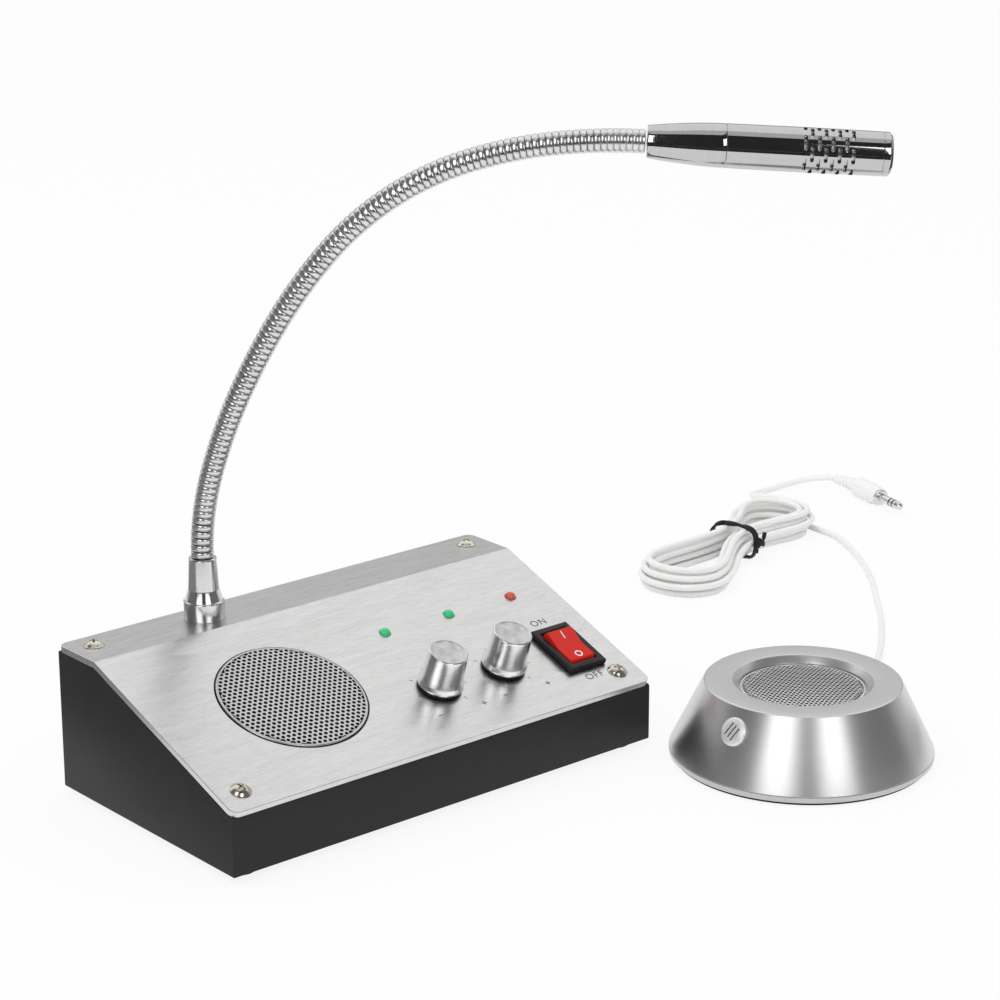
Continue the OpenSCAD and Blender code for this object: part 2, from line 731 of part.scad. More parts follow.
module outer_shell() color(satin_silver) difference() {
    inner = shell_wall / cos(side_a);
    union() {
        outer_unit() rotate_extrude() polygon([
            [outer_base_r, shell_low], [outer_top_r, outer_h], [recess_r, outer_h],
            [outer_grille_r + 0.6, ledge_z + 1.2], [outer_grille_r + 0.6, ledge_z],
            [outer_grille_r - ledge_w, ledge_z], [outer_grille_r - ledge_w, driver_z],
            [shell_r(driver_z) - inner, driver_z], [outer_base_r - inner, shell_low]]);
        intersection() {
            at_base_screws() translate([0, 0, shell_low]) cylinder(r = base_boss_r, h = 11);
            outer_unit() rotate_extrude() polygon([
                [0, shell_low], [outer_base_r - 0.5, shell_low],
                [shell_r(driver_z) - 0.5, driver_z], [0, driver_z]]);
        }
    }
    at_base_screws() translate([0, 0, shell_low - 1]) cylinder(r = 1 + hole_gap, h = 9);
    on_side(cap_heading, cap_z) translate([0, 0, -8]) cylinder(r = cap_stem_r + fit, h = 10);
    outer_unit() rotate([0, 0, cord_heading]) translate([outer_base_r - 12, 0, grommet_z])
        rotate([0, 90, 0]) cylinder(r = grommet_r + fit, h = 20);
}

module outer_grille() color(grille_grey) outer_unit() translate([0, 0, ledge_z]) {
    ring(outer_grille_r, outer_grille_r - rim_w, 1.2);
    translate([0, 0, 0.7]) grille_disc(outer_grille_r);
}

module outer_base() color(satin_silver) difference() {
    outer_unit() translate([0, 0, pad_t]) rotate_extrude() polygon([
        [0, 0], [outer_base_r - 0.6, 0], [outer_base_r, 0.6], [outer_base_r, base_t],
        [0, base_t]]);
    at_base_screws() translate([0, 0, -1]) cylinder(r = 1 + hole_gap, h = 9);
    at_base_screws() translate([0, 0, -1]) cylinder(r = 2.2, h = 1 + pad_t + 1);
}

module base_pad() color(moulded_black) difference() {
    outer_unit() cylinder(r = outer_base_r - 1.5, h = pad_t);
    at_base_screws() translate([0, 0, -1]) cylinder(r = 2.2, h = 3);
}

module base_screws() color(bright_chrome) at_base_screws() translate([0, 0, pad_t]) {
    translate([0, 0, 0.2]) cylinder(r = 2, h = 0.8);
    translate([0, 0, 0.9]) cylinder(r = 1, h = 7);
}

outer_basket_l = 8;
outer_magnet_r = 10;
module outer_driver() color(housing_black) outer_unit() translate([0, 0, driver_z]) {
    basket(outer_grille_r + 4, outer_grille_r - ledge_w, outer_basket_l, outer_magnet_r - 2);
    translate([0, 0, -outer_basket_l - 5]) ring(outer_magnet_r, channel_r, 5 + eps);
}

module outer_cone() color("#2b2b2b") outer_unit() translate([0, 0, driver_z - flange_t])
    cone(outer_grille_r - ledge_w - cone_inset - 0.15, outer_basket_l - flange_t - basket_wall, 5);

// Slotted cap over the outer microphone, pushed into the side of the shell
module outer_mic_cap() color(brushed_silver) on_side(cap_heading, cap_z) difference() {
    cap_h = 1.3;
    slots = 3;
    union() {
        rotate_extrude() polygon([
            [0, 0], [cap_r, 0], [cap_r, cap_h - 0.5], [cap_r - 0.5, cap_h - 0.1],
            [cap_r - 1.4, cap_h], [0, cap_h]]);
        translate([0, 0, -5]) cylinder(r = cap_stem_r, h = 5 + eps);
    }
    translate([0, 0, -5 - 1]) cylinder(r = 3 + fit, h = 6.2);
    for (i = [0 : slots - 1]) rotate([0, 0, 20])
        translate([-2.2, (i - 1) * 1.5 - 0.35, -eps]) cube([4.4, 0.7, cap_h + 1]);
}

module outer_mic_capsule() color("#3b3b3b") on_side(cap_heading, cap_z)
    translate([0, 0, -5]) cylinder(r = 3, h = 4.6);

// Tapered strain relief, pushed into the back of the shell
grommet_l = 8;
grommet_tip_r = 1.9;
module cord_grommet() color(cord_white) outer_unit() rotate([0, 0, cord_heading])
    translate([shell_r(grommet_z), 0, grommet_z]) rotate([0, 90, 0]) {
        // The flange starts where the leaning wall ends
        flange_in = shell_wall / cos(side_a) + (grommet_r + 1) * tan(side_a) + 0.1;
        rotate_extrude() polygon([
            [0, -flange_in - 1.2], [grommet_r + 1, -flange_in - 1.2], [grommet_r + 1, -flange_in],
            [grommet_r, -flange_in], [grommet_r, 1.2], [grommet_tip_r, grommet_l],
            [0, grommet_l]]);
    }

// ---- Cord
cord_r = cord_d / 2;
exit_dir = [cos(cord_heading), sin(cord_heading), 0];
exit_at = [outer_x, outer_y, grommet_z] + exit_dir * (shell_r(grommet_z) + grommet_l);

// Hank: the inner turn is pinched at the waist, and the others lie outside it at one pitch.
// Its left and right lobes have their own half lengths and half widths.
hank_at = [324, 119];
hank_heading = 18;
hank_layers = 4;
hank_half = [50, 42];
waist_half = 1.7;
lobe_half = [11, 9];
cord_gap = 0.6;
turn_step = cord_d + cord_gap;
tie_t = 0.8;
tie_w = 2;
tie_lift = tie_t + 0.1;
hank_rings = 24;
hank_count = hank_layers * hank_turns;

function mixed(pair, a) = pair[0] + (pair[1] - pair[0]) * (0.5 + 0.5 * cos(a));
function turned(p, a) = [p[0] * cos(a) - p[1] * sin(a), p[0] * sin(a) + p[1] * cos(a)];
function run_at(a) = [
    mixed(hank_half, a) * cos(a),
    waist_half * sin(a) + mixed(lobe_half, a) / 0.385 * sin(a) * cos(a) * cos(a)];
function run_normal(a) = let (d = run_at(a + 0.5) - run_at(a - 0.5)) [d[1], -d[0]] / norm(d);
// Turns in from the outside and out again, one pitch for each turn
function track(u) = abs(u % (2 * hank_turns) - hank_turns);
// Each layer begins half way along a run, in the half turn where the track turns back
function layer(u) = let (turn_no = round(u / hank_turns), past = u - turn_no * hank_turns)
    turn_no == 0 ? 0 :
    turn_no == hank_layers ? hank_layers - 1 :
    turn_no - 0.5 + min(max(past * 2, -0.5), 0.5);
function hank_point(u) = let (
    a = 360 * u - 90,
    flat = hank_at + turned(run_at(a) + run_normal(a) * track(u) * turn_step, hank_heading))
    [flat[0], flat[1], cord_r + layer(u) * turn_step + tie_lift * pow(sin(a), 4)];

hank_first = 5;
hank_last = hank_count * hank_rings - 18;
hank_path = [for (i = [hank_first : hank_last]) hank_point(i / hank_rings)];

// Least gap between turns, measured between points that are more than half a turn apart
hank_gap = min([for (i = [0 : len(hank_path) - 1], k = [i + hank_rings / 2 : len(hank_path) - 1])
    norm(hank_path[i] - hank_path[k])]) - cord_d;
echo(hank_gap = hank_gap);

// A tube swept along points, with the cut ends square to the path
function unit(v) = v / norm(v);
function heading_at(p, i) =
    i == 0 ? unit(p[1] - p[0]) :
    i == len(p) - 1 ? unit(p[i] - p[i - 1]) :
    unit(unit(p[i + 1] - p[i]) + unit(p[i] - p[i - 1]));
function ring_points(c, d, sides, r) = let (
    side = unit(cross([0, 0, 1], d)), up = cross(d, side))
    [for (k = [0 : sides - 1]) c + r * (cos(360 * k / sides) * side + sin(360 * k / sides) * up)];

module tube(p, sides, r) {
    n = len(p);
    rings = [for (i = [0 : n - 1]) each ring_points(p[i], heading_at(p, i), sides, r)];
    skin = [for (i = [0 : n - 2], k = [0 : sides - 1]) let (
        a = i * sides + k, b = i * sides + (k + 1) % sides)
        each [[a, b, b + sides], [a, b + sides, a + sides]]];
    caps = [
        [for (k = [0 : sides - 1]) sides - 1 - k],
        [for (k = [0 : sides - 1]) (n - 1) * sides + k]];
    polyhedron(rings, concat(skin, caps));
}

// Curve through the route's points, with one ring between each two of them
function between(a, b, c, d) = (9 * (b + c) - a - d) / 16;
function smooth(p) = [for (i = [0 : len(p) - 1]) each
    i == len(p) - 1 ? [p[i]] :
    [p[i], between(p[max(i - 1, 0)], p[i], p[i + 1], p[min(i + 2, len(p) - 1)])]];
function route(from, from_dir, points, to, to_dir) = concat(
    [from], smooth(concat([from + from_dir * cord_d], points, [to - to_dir * cord_d])), [to]);

// The lead leaves the strain relief, comes down and runs back to the hank
hank_in = hank_path[0];
hank_in_dir = unit(hank_path[1] - hank_in);
lead_points = [
    [252, -14.4, 6.6], [258, -11.4, 4], [265, -7.8, 2], [273, -3, 1.3], [283, 4, 1.22],
    [294, 13, 1.2], [305, 23, 1.2], [316, 34, 1.2], [327, 46, 1.2], [338, 58, 1.2],
    [348, 70.5, 1.2], [357, 83.5, 1.2], [364.5, 97, 1.2], [369, 108, 1.2]];
lead_path = route(exit_at, exit_dir, lead_points, hank_in, hank_in_dir);

// Plug: the pin lies along plug_heading, and the boot bends round to the cord
plug_heading = -103;
plug_at = [417, 141, plug_r];
boot_l = 13;
boot_bend = 24;
boot_ribs = 6;
boot_lean = 0.35;
boot_arc = boot_l / (boot_bend * PI / 180);
boot_dir = [cos(plug_heading + boot_bend), sin(plug_heading + boot_bend), 0];
// Centre of the boot's bend, to the right of the plug as seen along its pin
boot_centre = plug_at + boot_arc * [sin(plug_heading), -cos(plug_heading), 0];
boot_start = boot_centre - boot_arc * [sin(plug_heading + boot_bend), -cos(plug_heading + boot_bend), 0];

// The tail comes down from the top of the hank to the boot
hank_out = hank_path[len(hank_path) - 1];
hank_out_dir = unit(hank_out - hank_path[len(hank_path) - 2]);
tail_points = [
    [364.8, 144, 9.8], [367.5, 151.5, 7.8], [373.5, 158.5, 5.2], [381.5, 163.5, 3],
    [391, 166.4, 1.7], [400, 166.7, 1.7], [407.5, 165.1, 2.4], [413, 161.4, 3.4]];
tail_path = route(hank_out, hank_out_dir, tail_points, boot_start, boot_dir);

module cord_lead() color(cord_white) place() tube(lead_path, 8, cord_r);
module cord_hank() color(cord_white) place() tube(hank_path, 6, cord_r);
module cord_tail() color(cord_white) place() tube(tail_path, 8, cord_r);

// Black tie round the waist, twisted into a knot at the front
tie_gap = 0.15;
module tie_outline(extra) {
    half_y = waist_half + hank_turns * turn_step + cord_r + tie_gap + extra;
    low = tie_lift - tie_gap / 2 - extra;
    high = tie_lift + (hank_layers - 1) * turn_step + cord_d + tie_gap + extra;
    r = cord_r + 0.6 + extra;
    translate([-half_y + r, low]) square([2 * half_y - 2 * r, high - low]);
    translate([-half_y, low + r]) square([2 * half_y, high - low - 2 * r]);
    for (y = [-half_y + r, half_y - r]) for (z = [low + r, high - r])
        translate([y, z]) circle(r = r, $fn = 24);
}

module twist_tie() color(moulded_black) place() translate([hank_at[0], hank_at[1], 0])
    rotate([0, 0, hank_heading]) {
    knot_r = 1.6;
    knot_y = -waist_half - hank_turns * turn_step - cord_r - tie_t - knot_r * 0.6;
    along_x(-tie_w / 2, tie_w / 2) difference() {
        tie_outline(tie_t - tie_gap / 2);
        tie_outline(0);
    }
    translate([0, knot_y, 6]) {
        sphere(r = knot_r, $fn = 24);
        rotate([0, 20, 0]) translate([0, 0, -5]) cylinder(r = 0.7, h = 10, $fn = 24);
    }
}

// Ribbed boot on the plug's tail, a little clear of the cord and of the plug's body
module plug_boot() color(cord_white) place() for (i = [0 : boot_ribs - 1]) {
    step = boot_l * (1 - 2 * boot_lean / boot_bend) / boot_ribs;
    turn = boot_lean + (boot_bend - 2 * boot_lean) * (1 - (i + 0.5) / boot_ribs);
    r = 1.9 + 1.1 * i / (boot_ribs - 1);
    spoke = [sin(plug_heading + turn), -cos(plug_heading + turn), 0];
    translate(boot_centre - boot_arc * spoke) rotate([0, 90, plug_heading + turn]) {
        translate([0, 0, -step / 2]) cylinder(r = r - 0.4, h = step, $fn = 24);
        translate([0, 0, -step / 4]) cylinder(r = r, h = step / 2, $fn = 24);
    }
}

module at_plug() place() translate(plug_at) rotate([0, 90, plug_heading]) children();

collar_ring_l = 1.6;
module plug_body() color(cord_white) at_plug() rotate_extrude() polygon([
    [0, 0], [plug_r - 1, 0], [plug_r, 1.4], [plug_r, plug_l - 3.5], [plug_r - 0.5, plug_l - 3],
    [plug_r - 0.5, plug_l], [0, plug_l]]);

// Stereo pin: sleeve, ring and tip, parted by two black rings
ring_w = 0.7;
pin_sleeve_l = 6.4;
core_pin_r = 1.2;
ring_a = collar_ring_l + pin_sleeve_l + ring_w;
ring_b = ring_a + 1.6 + ring_w;
pin_end = collar_ring_l + pin_l;
module plug_pin() color(bright_chrome) at_plug() translate([0, 0, plug_l]) rotate_extrude()
    polygon([
        [0, 0], [plug_r - 1, 0], [plug_r - 1, collar_ring_l], [pin_r, collar_ring_l],
        [pin_r, collar_ring_l + pin_sleeve_l], [core_pin_r, collar_ring_l + pin_sleeve_l],
        [core_pin_r, ring_a], [pin_r, ring_a], [pin_r, ring_b - ring_w], [core_pin_r, ring_b - ring_w],
        [core_pin_r, ring_b], [pin_r, ring_b], [pin_r, pin_end - 3], [pin_r - 0.55, pin_end - 2.2],
        [pin_r - 0.1, pin_end - 1.2], [0.4, pin_end], [0, pin_end]]);

module plug_rings() color(moulded_black) at_plug() translate([0, 0, plug_l])
    for (z = [collar_ring_l + pin_sleeve_l, ring_b - ring_w])
        translate([0, 0, z]) ring(pin_r, core_pin_r, ring_w);

base_housing();
face_plate();
face_screws();
rubber_feet();
console_grille();
driver_basket();
driver_magnet();
driver_cone();
lamp_inside();
lamp_outside();
lamp_power();
pot_inside();
pot_outside();
pot_nuts();
knob_inside();
knob_outside();
knob_core_inside();
knob_core_outside();
pot_shaft_inside();
pot_shaft_outside();
switch_frame();
switch_rocker();
switch_tabs();
main_pcb();
amp_heatsink();
capacitors();
dc_socket();
jack_socket();
neck_collar();
neck_nut();
neck_link_1();
neck_link_2();
neck_link_3();
neck_link_4();
neck_link_5();
neck_link_6();
neck_link_7();
neck_link_8();
mic_sleeve();
mic_barrel();
mic_capsule();
outer_shell();
outer_grille();
outer_base();
base_pad();
outer_driver();
outer_cone();
outer_mic_cap();
outer_mic_capsule();
cord_grommet();
base_screws();
cord_lead();
cord_hank();
cord_tail();
twist_tie();
plug_boot();
plug_body();
plug_pin();
plug_rings();
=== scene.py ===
import math
from math import cos, pi, radians, sin
import bmesh
import bpy
from mathutils import Matrix, Vector


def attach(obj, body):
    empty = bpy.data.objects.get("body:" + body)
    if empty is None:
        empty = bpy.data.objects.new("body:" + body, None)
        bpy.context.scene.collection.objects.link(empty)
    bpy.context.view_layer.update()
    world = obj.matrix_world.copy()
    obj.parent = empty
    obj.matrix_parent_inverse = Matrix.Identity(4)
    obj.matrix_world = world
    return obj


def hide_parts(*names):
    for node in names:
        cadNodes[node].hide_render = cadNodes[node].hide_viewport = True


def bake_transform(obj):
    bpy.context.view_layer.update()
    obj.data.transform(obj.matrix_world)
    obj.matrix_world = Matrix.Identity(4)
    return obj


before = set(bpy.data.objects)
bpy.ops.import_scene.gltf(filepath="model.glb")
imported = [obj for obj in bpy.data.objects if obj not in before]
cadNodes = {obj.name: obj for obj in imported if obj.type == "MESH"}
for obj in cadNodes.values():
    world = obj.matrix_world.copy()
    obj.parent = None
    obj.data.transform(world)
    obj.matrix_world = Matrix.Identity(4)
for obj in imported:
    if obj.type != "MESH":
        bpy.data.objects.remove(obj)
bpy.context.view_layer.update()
scene = bpy.context.scene

# camera, fitted to the console in the photograph
camera = {"place": (-0.59268, -0.68279, 0.38414), "turn": (72.1606, 0.1403, -40.3530), "lens": 109.27}
cameraData = bpy.data.cameras.new("counterCamera")
cameraData.lens = camera["lens"]
cameraData.sensor_width = 36
cameraData.clip_start = 0.01
cameraObject = bpy.data.objects.new("counterCamera", cameraData)
cameraObject.location = camera["place"]
cameraObject.rotation_euler = [radians(a) for a in camera["turn"]]
scene.collection.objects.link(cameraObject)
scene.camera = cameraObject
scene.view_settings.view_transform = "Standard"
print("camera ready")

# places on the console and the outer unit, in millimetres from the console's front left corner
body = {"width": 168.0, "depth": 92.5, "front": 19.0, "back": 45.8, "topDepth": 20.4, "plate": 2.1, "feet": 2.0,
        "originX": 121.5, "originY": 5.2}
slopeAngle = math.atan((body["back"] - body["front"]) / (body["depth"] - body["topDepth"]))
topZ = body["feet"] + body["back"] + body["plate"]


def turnBy(degrees, axis):
    return Matrix.Rotation(radians(degrees), 4, axis)


def shiftBy(*offset):
    return Matrix.Translation(offset)


def place(matrix=Matrix()):
    shift = shiftBy(-body["originX"], -body["originY"], 0)
    return Matrix.Scale(0.001, 4) @ shift @ matrix


def onSlope(x, s, h=0.0):
    return place(shiftBy(x, 0, body["feet"] + body["front"])
                 @ Matrix.Rotation(slopeAngle, 4, "X") @ shiftBy(0, s, body["plate"] + h))


def onTop(x, y, h=0.0):
    return place(shiftBy(x, y, topZ + h))


outer = {"x": 199.7, "y": -38.8, "baseR": 43.3, "topR": 32.2, "height": 26.0, "low": 3.0, "recessR": 23.0,
         "wall": 2.2}
sideLean = math.atan((outer["baseR"] - outer["topR"]) / (outer["height"] - outer["low"]))


def shellR(z):
    return outer["baseR"] - math.tan(sideLean) * (z - outer["low"])


def atOuter(matrix=Matrix()):
    return place(shiftBy(outer["x"], outer["y"], 0) @ matrix)


def onSide(heading, z):
    return atOuter(turnBy(heading, "Z") @ shiftBy(shellR(z), 0, z) @ turnBy(90 - math.degrees(sideLean), "Y"))


# helpers for node trees
def setSocket(tree, socket, value):
    if isinstance(value, bpy.types.NodeSocket):
        tree.links.new(value, socket)
    else:
        socket.default_value = value


def treeNode(tree, kind, settings=None, numbered=None, **named):
    # inputs are named, with _ for a space, or numbered, each a value or a socket to link; gives the outputs
    node = tree.nodes.new(kind)
    for key, value in (settings or {}).items():
        setattr(node, key, value)
    for key, value in [*(numbered or {}).items(), *named.items()]:
        setSocket(tree, node.inputs[key if isinstance(key, int) else key.replace("_", " ")], value)
    return node.outputs


def sums(tree, operation, *terms, clamp=False):
    settings = {"operation": operation, "use_clamp": clamp}
    return treeNode(tree, "ShaderNodeMath", settings, dict(enumerate(terms)))[0]


# materials: one tree for all finishes, with the grain's size and stretch set for each
def finish(name, colour, metal=0.0, rough=0.5, tone=0.06, roughShift=0.05, scale=900.0, stretch=(1, 1, 1),
           bump=0.15, depth=0.00003, broad=0.08, spun=False, sockets=None):
    material = bpy.data.materials.new(name)
    material.use_nodes = True
    tree = material.node_tree
    if spun:
        source = treeNode(tree, "ShaderNodeAttribute", {"attribute_name": "spinMap"})["Vector"]
    else:
        source = treeNode(tree, "ShaderNodeTexCoord")["Object"]
    grain = treeNode(tree, "ShaderNodeMapping", Vector=source, Scale=stretch)[0]
    fine = treeNode(tree, "ShaderNodeTexNoise", Vector=grain, Scale=scale, Detail=5)[0]
    wide = treeNode(tree, "ShaderNodeTexNoise", Vector=grain, Scale=scale * broad, Detail=3)[0]
    blend = treeNode(tree, "ShaderNodeMix", None, {0: 0.35, 2: fine, 3: wide})[0]
    spread = treeNode(tree, "ShaderNodeMapRange", Value=blend, From_Min=0.3, From_Max=0.7)[0]
    dark, pale = ([min(1, c * (1 + shift)) for c in colour] + [1] for shift in (-tone, tone))
    tint = treeNode(tree, "ShaderNodeMix", {"data_type": "RGBA"}, {0: spread, 6: dark, 7: pale})
    gloss = treeNode(tree, "ShaderNodeMapRange", Value=blend, To_Min=max(0.01, rough - roughShift),
                     To_Max=rough + roughShift)
    relief = treeNode(tree, "ShaderNodeBump", Strength=bump, Distance=depth, Height=fine)
    inputs = {"Base Color": tint[2], "Roughness": gloss[0], "Normal": relief[0], "Metallic": metal, **(sockets or {})}
    for socket, value in inputs.items():
        setSocket(tree, tree.nodes["Principled BSDF"].inputs[socket], value)
    return material


def grey(level):
    return (level, level, level)


housingPaint = finish("housingPaint", (0.021, 0.021, 0.022), rough=0.55, scale=2600, tone=0.2, bump=0.3,
                      sockets={"Specular IOR Level": 0.25})
brushedPlate = finish("brushedPlate", (0.70, 0.70, 0.695), metal=1, rough=0.3, roughShift=0.09, tone=0.13,
                      scale=2600, stretch=(0.10, 1, 1), bump=0.3, depth=0.00002, broad=0.2)
screwMetal = finish("screwMetal", (0.70, 0.67, 0.58), metal=1, rough=0.18, scale=1500, tone=0.14)
spunChrome = finish("spunChrome", (0.74, 0.74, 0.75), metal=1, rough=0.17, roughShift=0.05, tone=0.08,
                    scale=2.2, stretch=(1.4, 1.4, 0.5), spun=True, bump=0.04, depth=0.00001)
micChrome = finish("micChrome", (0.56, 0.56, 0.565), metal=1, rough=0.06, roughShift=0.03, tone=0.05,
                   scale=2.2, stretch=(0.3, 0.3, 1.2), spun=True, bump=0.04, depth=0.00001)
knobMetal = finish("knobMetal", grey(0.90), metal=1, rough=0.24, roughShift=0.06, tone=0.10,
                   scale=3.0, stretch=(1.0, 1.0, 0.5), spun=True, bump=0.12, depth=0.00001)
# knob tops: spun metal whose colour carries broad lighter and darker sectors round the axis, painted highlight and
# shade standing in for the sheen of the spun top
knobTopPaintedHighlight = finish("knobTopPaintedHighlight", grey(0.56), metal=1, rough=0.3, roughShift=0.06, tone=0.3,
                  scale=1.0, stretch=(2.4, 2.4, 0.04), spun=True, bump=0.12, depth=0.00001)
shellMetal = finish("shellMetal", grey(0.74), metal=1, rough=0.33, roughShift=0.05, tone=0.05,
                    scale=2.4, stretch=(0.5, 0.5, 2.8), spun=True, bump=0.10, depth=0.00001)
baseMetal = finish("baseMetal", grey(0.56), metal=1, rough=0.33, scale=1800, tone=0.05)
grilleMetal = finish("grilleMetal", grey(0.58), metal=1, rough=0.26, scale=1600, tone=0.08)
# outer grille: a lighter copy of the grille metal, its extra lightness a painted highlight standing in for the bright
# rims round the holes
outerGrilleMetalPaintedHighlight = finish("outerGrilleMetalPaintedHighlight", grey(0.86), metal=1, rough=0.26, scale=1600, tone=0.08)
capMetal = finish("capMetal", grey(0.84), metal=0.5, rough=0.34, scale=3, stretch=(0.4, 0.4, 2.5), spun=True)
neckMetal = finish("neckMetal", (0.76, 0.76, 0.77), metal=1, rough=0.24, roughShift=0.08, scale=900, tone=0.16,
                   bump=0.08)
neckCore = finish("neckCore", grey(0.05), metal=1, rough=0.4, scale=1200, tone=0.3)
mouldedBlack = finish("mouldedBlack", grey(0.013), rough=0.42, scale=3000, tone=0.25, bump=0.25,
                      sockets={"Specular IOR Level": 0.3})
rockerRed = finish("rockerRed", (0.62, 0.016, 0.010), rough=0.3, scale=1500, tone=0.07, bump=0.06,
                   sockets={"Specular IOR Level": 0.22})
markWhite = finish("markWhite", grey(0.86), rough=0.4, scale=3000, tone=0.06)
markInk = finish("markInk", grey(0.06), rough=0.6, scale=5000, tone=0.35)
lens = {"Subsurface Weight": 0.15, "Subsurface Scale": 0.001, "Coat Weight": 0.4}
lampGreen = finish("lampGreen", (0.05, 0.58, 0.23), rough=0.16, scale=1200, tone=0.16, bump=0.05, sockets=lens)
lampRed = finish("lampRed", (0.62, 0.10, 0.07), rough=0.16, scale=1200, tone=0.16, bump=0.05, sockets=lens)
cordWhite = finish("cordWhite", (0.94, 0.94, 0.93), rough=0.42, scale=800, tone=0.035, bump=0.10,
                   sockets={"Subsurface Weight": 0.08, "Subsurface Scale": 0.0008})
rubber = finish("rubber", grey(0.022), rough=0.85, scale=2400, tone=0.3, bump=0.4)
boardGreen = finish("boardGreen", (0.03, 0.16, 0.07), rough=0.35, scale=700, tone=0.3, broad=0.3)
ferrite = finish("ferrite", grey(0.06), rough=0.7, scale=1900, tone=0.3, bump=0.4)
paperCone = finish("paperCone", grey(0.03), rough=0.9, scale=1700, tone=0.35, bump=0.5)
paintedBasket = finish("paintedBasket", grey(0.035), rough=0.45, scale=2600, tone=0.25, bump=0.3)
platedSteel = finish("platedSteel", (0.58, 0.57, 0.54), metal=1, rough=0.28, scale=1300, tone=0.12)
contactBrass = finish("contactBrass", (0.70, 0.52, 0.26), metal=1, rough=0.3, scale=1500, tone=0.12)
finBlack = finish("finBlack", grey(0.05), metal=0.6, rough=0.4, scale=2500, stretch=(1, 0.1, 1), tone=0.2)
sleeveBlue = finish("sleeveBlue", (0.02, 0.035, 0.08), rough=0.22, scale=900, tone=0.2)
capsuleFelt = finish("capsuleFelt", grey(0.035), rough=0.95, scale=4200, tone=0.4, bump=0.6)
print("materials ready")


# helpers for meshes
def lathe(profile, steps=96):
    # turns a closed, anticlockwise loop of (radius, height) about the local z axis
    bm = bmesh.new()
    spin = bm.verts.layers.float_vector.new("spinMap")
    rings, run, last = [], 0.0, None
    for r, z in profile:
        run += 0.0 if last is None else math.hypot(r - last[0], z - last[1])
        last = (r, z)
        count = 1 if r < 1e-6 else steps
        ring = []
        for k in range(count):
            a = 2 * pi * k / count
            vertex = bm.verts.new((r * cos(a), r * sin(a), z))
            vertex[spin] = (cos(a), sin(a), run) if count > 1 else (0, 0, run)
            ring.append(vertex)
        rings.append(ring)
    for low, high in zip(rings, rings[1:] + rings[:1]):
        if len(low) == 1 and len(high) == 1:
            continue
        for k in range(steps):
            n = (k + 1) % steps
            corners = [low[k % len(low)], low[n % len(low)], high[n % len(high)], high[k % len(high)]]
            bm.faces.new(list(dict.fromkeys(corners)))
    return bm


def rounded(corners, steps=4):
    # corners are (radius, height) or (radius, height, fillet)
    points = []
    for i, corner in enumerate(corners):
        here = Vector(corner[:2])
        if len(corner) < 3:
            points.append(tuple(here))
            continue
        before, after = Vector(corners[i - 1][:2]) - here, Vector(corners[(i + 1) % len(corners)][:2]) - here
        half = before.angle(after) / 2
        reach = min(corner[2] / math.tan(half), 0.48 * min(before.length, after.length))
        a, b = here + before.normalized() * reach, here + after.normalized() * reach
        centre = here + (before.normalized() + after.normalized()).normalized() * reach / cos(half)
        first, second = a - centre, b - centre
        start = math.atan2(first.y, first.x)
        sweep = math.atan2(second.y, second.x) - start
        sweep = (sweep + pi) % (2 * pi) - pi
        for k in range(steps + 1):
            angle = start + sweep * k / steps
            points.append((centre.x + first.length * cos(angle), centre.y + first.length * sin(angle)))
    return points


def meshOf(bm, matrix=Matrix()):
    mesh = bpy.data.meshes.new("piece")
    bm.to_mesh(mesh)
    bm.free()
    mesh.transform(matrix)
    return mesh


def settle(name, mesh, rider, looks, nodes=(), sharp=35, keepLooks=False):
    # a finished piece at the origin, with its place in its mesh
    piece = bpy.data.objects.new(name, mesh)
    scene.collection.objects.link(piece)
    if not keepLooks:
        mesh.materials.clear()
        mesh.materials.append(looks)
    mesh.shade_smooth()
    mesh.set_sharp_from_angle(angle=radians(sharp))
    if rider:
        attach(piece, rider)
        if nodes:
            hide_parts(*nodes)
    return piece


def looseObject(name, mesh):
    holder = bpy.data.objects.new(name, mesh)
    scene.collection.objects.link(holder)
    return holder


def evaluatedMesh(holder):
    scene.view_layers[0].update()
    mesh = bpy.data.meshes.new_from_object(holder.evaluated_get(bpy.context.evaluated_depsgraph_get()))
    bpy.data.objects.remove(holder)
    return mesh


def cutWith(mesh, cutterMesh):
    holder, cutter = looseObject("toCut", mesh), looseObject("cutter", cutterMesh)
    boolean = holder.modifiers.new("cut", "BOOLEAN")
    boolean.operation = "DIFFERENCE"
    boolean.solver = "EXACT"
    boolean.object = cutter
    result = evaluatedMesh(holder)
    bpy.data.objects.remove(cutter)
    return result


def bevelledCopy(node, width, least=0.3, angle=28, steps=2):
    # the CAD node's own form, with the edges of its outline broken
    bm = bmesh.new()
    bm.from_mesh(cadNodes[node].data)
    bmesh.ops.remove_doubles(bm, verts=bm.verts, dist=2e-6)
    bmesh.ops.dissolve_limit(bm, angle_limit=radians(0.6), verts=bm.verts, edges=bm.edges)
    chosen = [e for e in bm.edges if len(e.link_faces) == 2 and e.calc_length() > least * 0.001
              and e.calc_face_angle(0) > radians(angle)]
    bmesh.ops.bevel(bm, geom=chosen, offset=width * 0.001, segments=steps, profile=0.5, affect="EDGES",
                    clamp_overlap=False)
    return meshOf(bm)


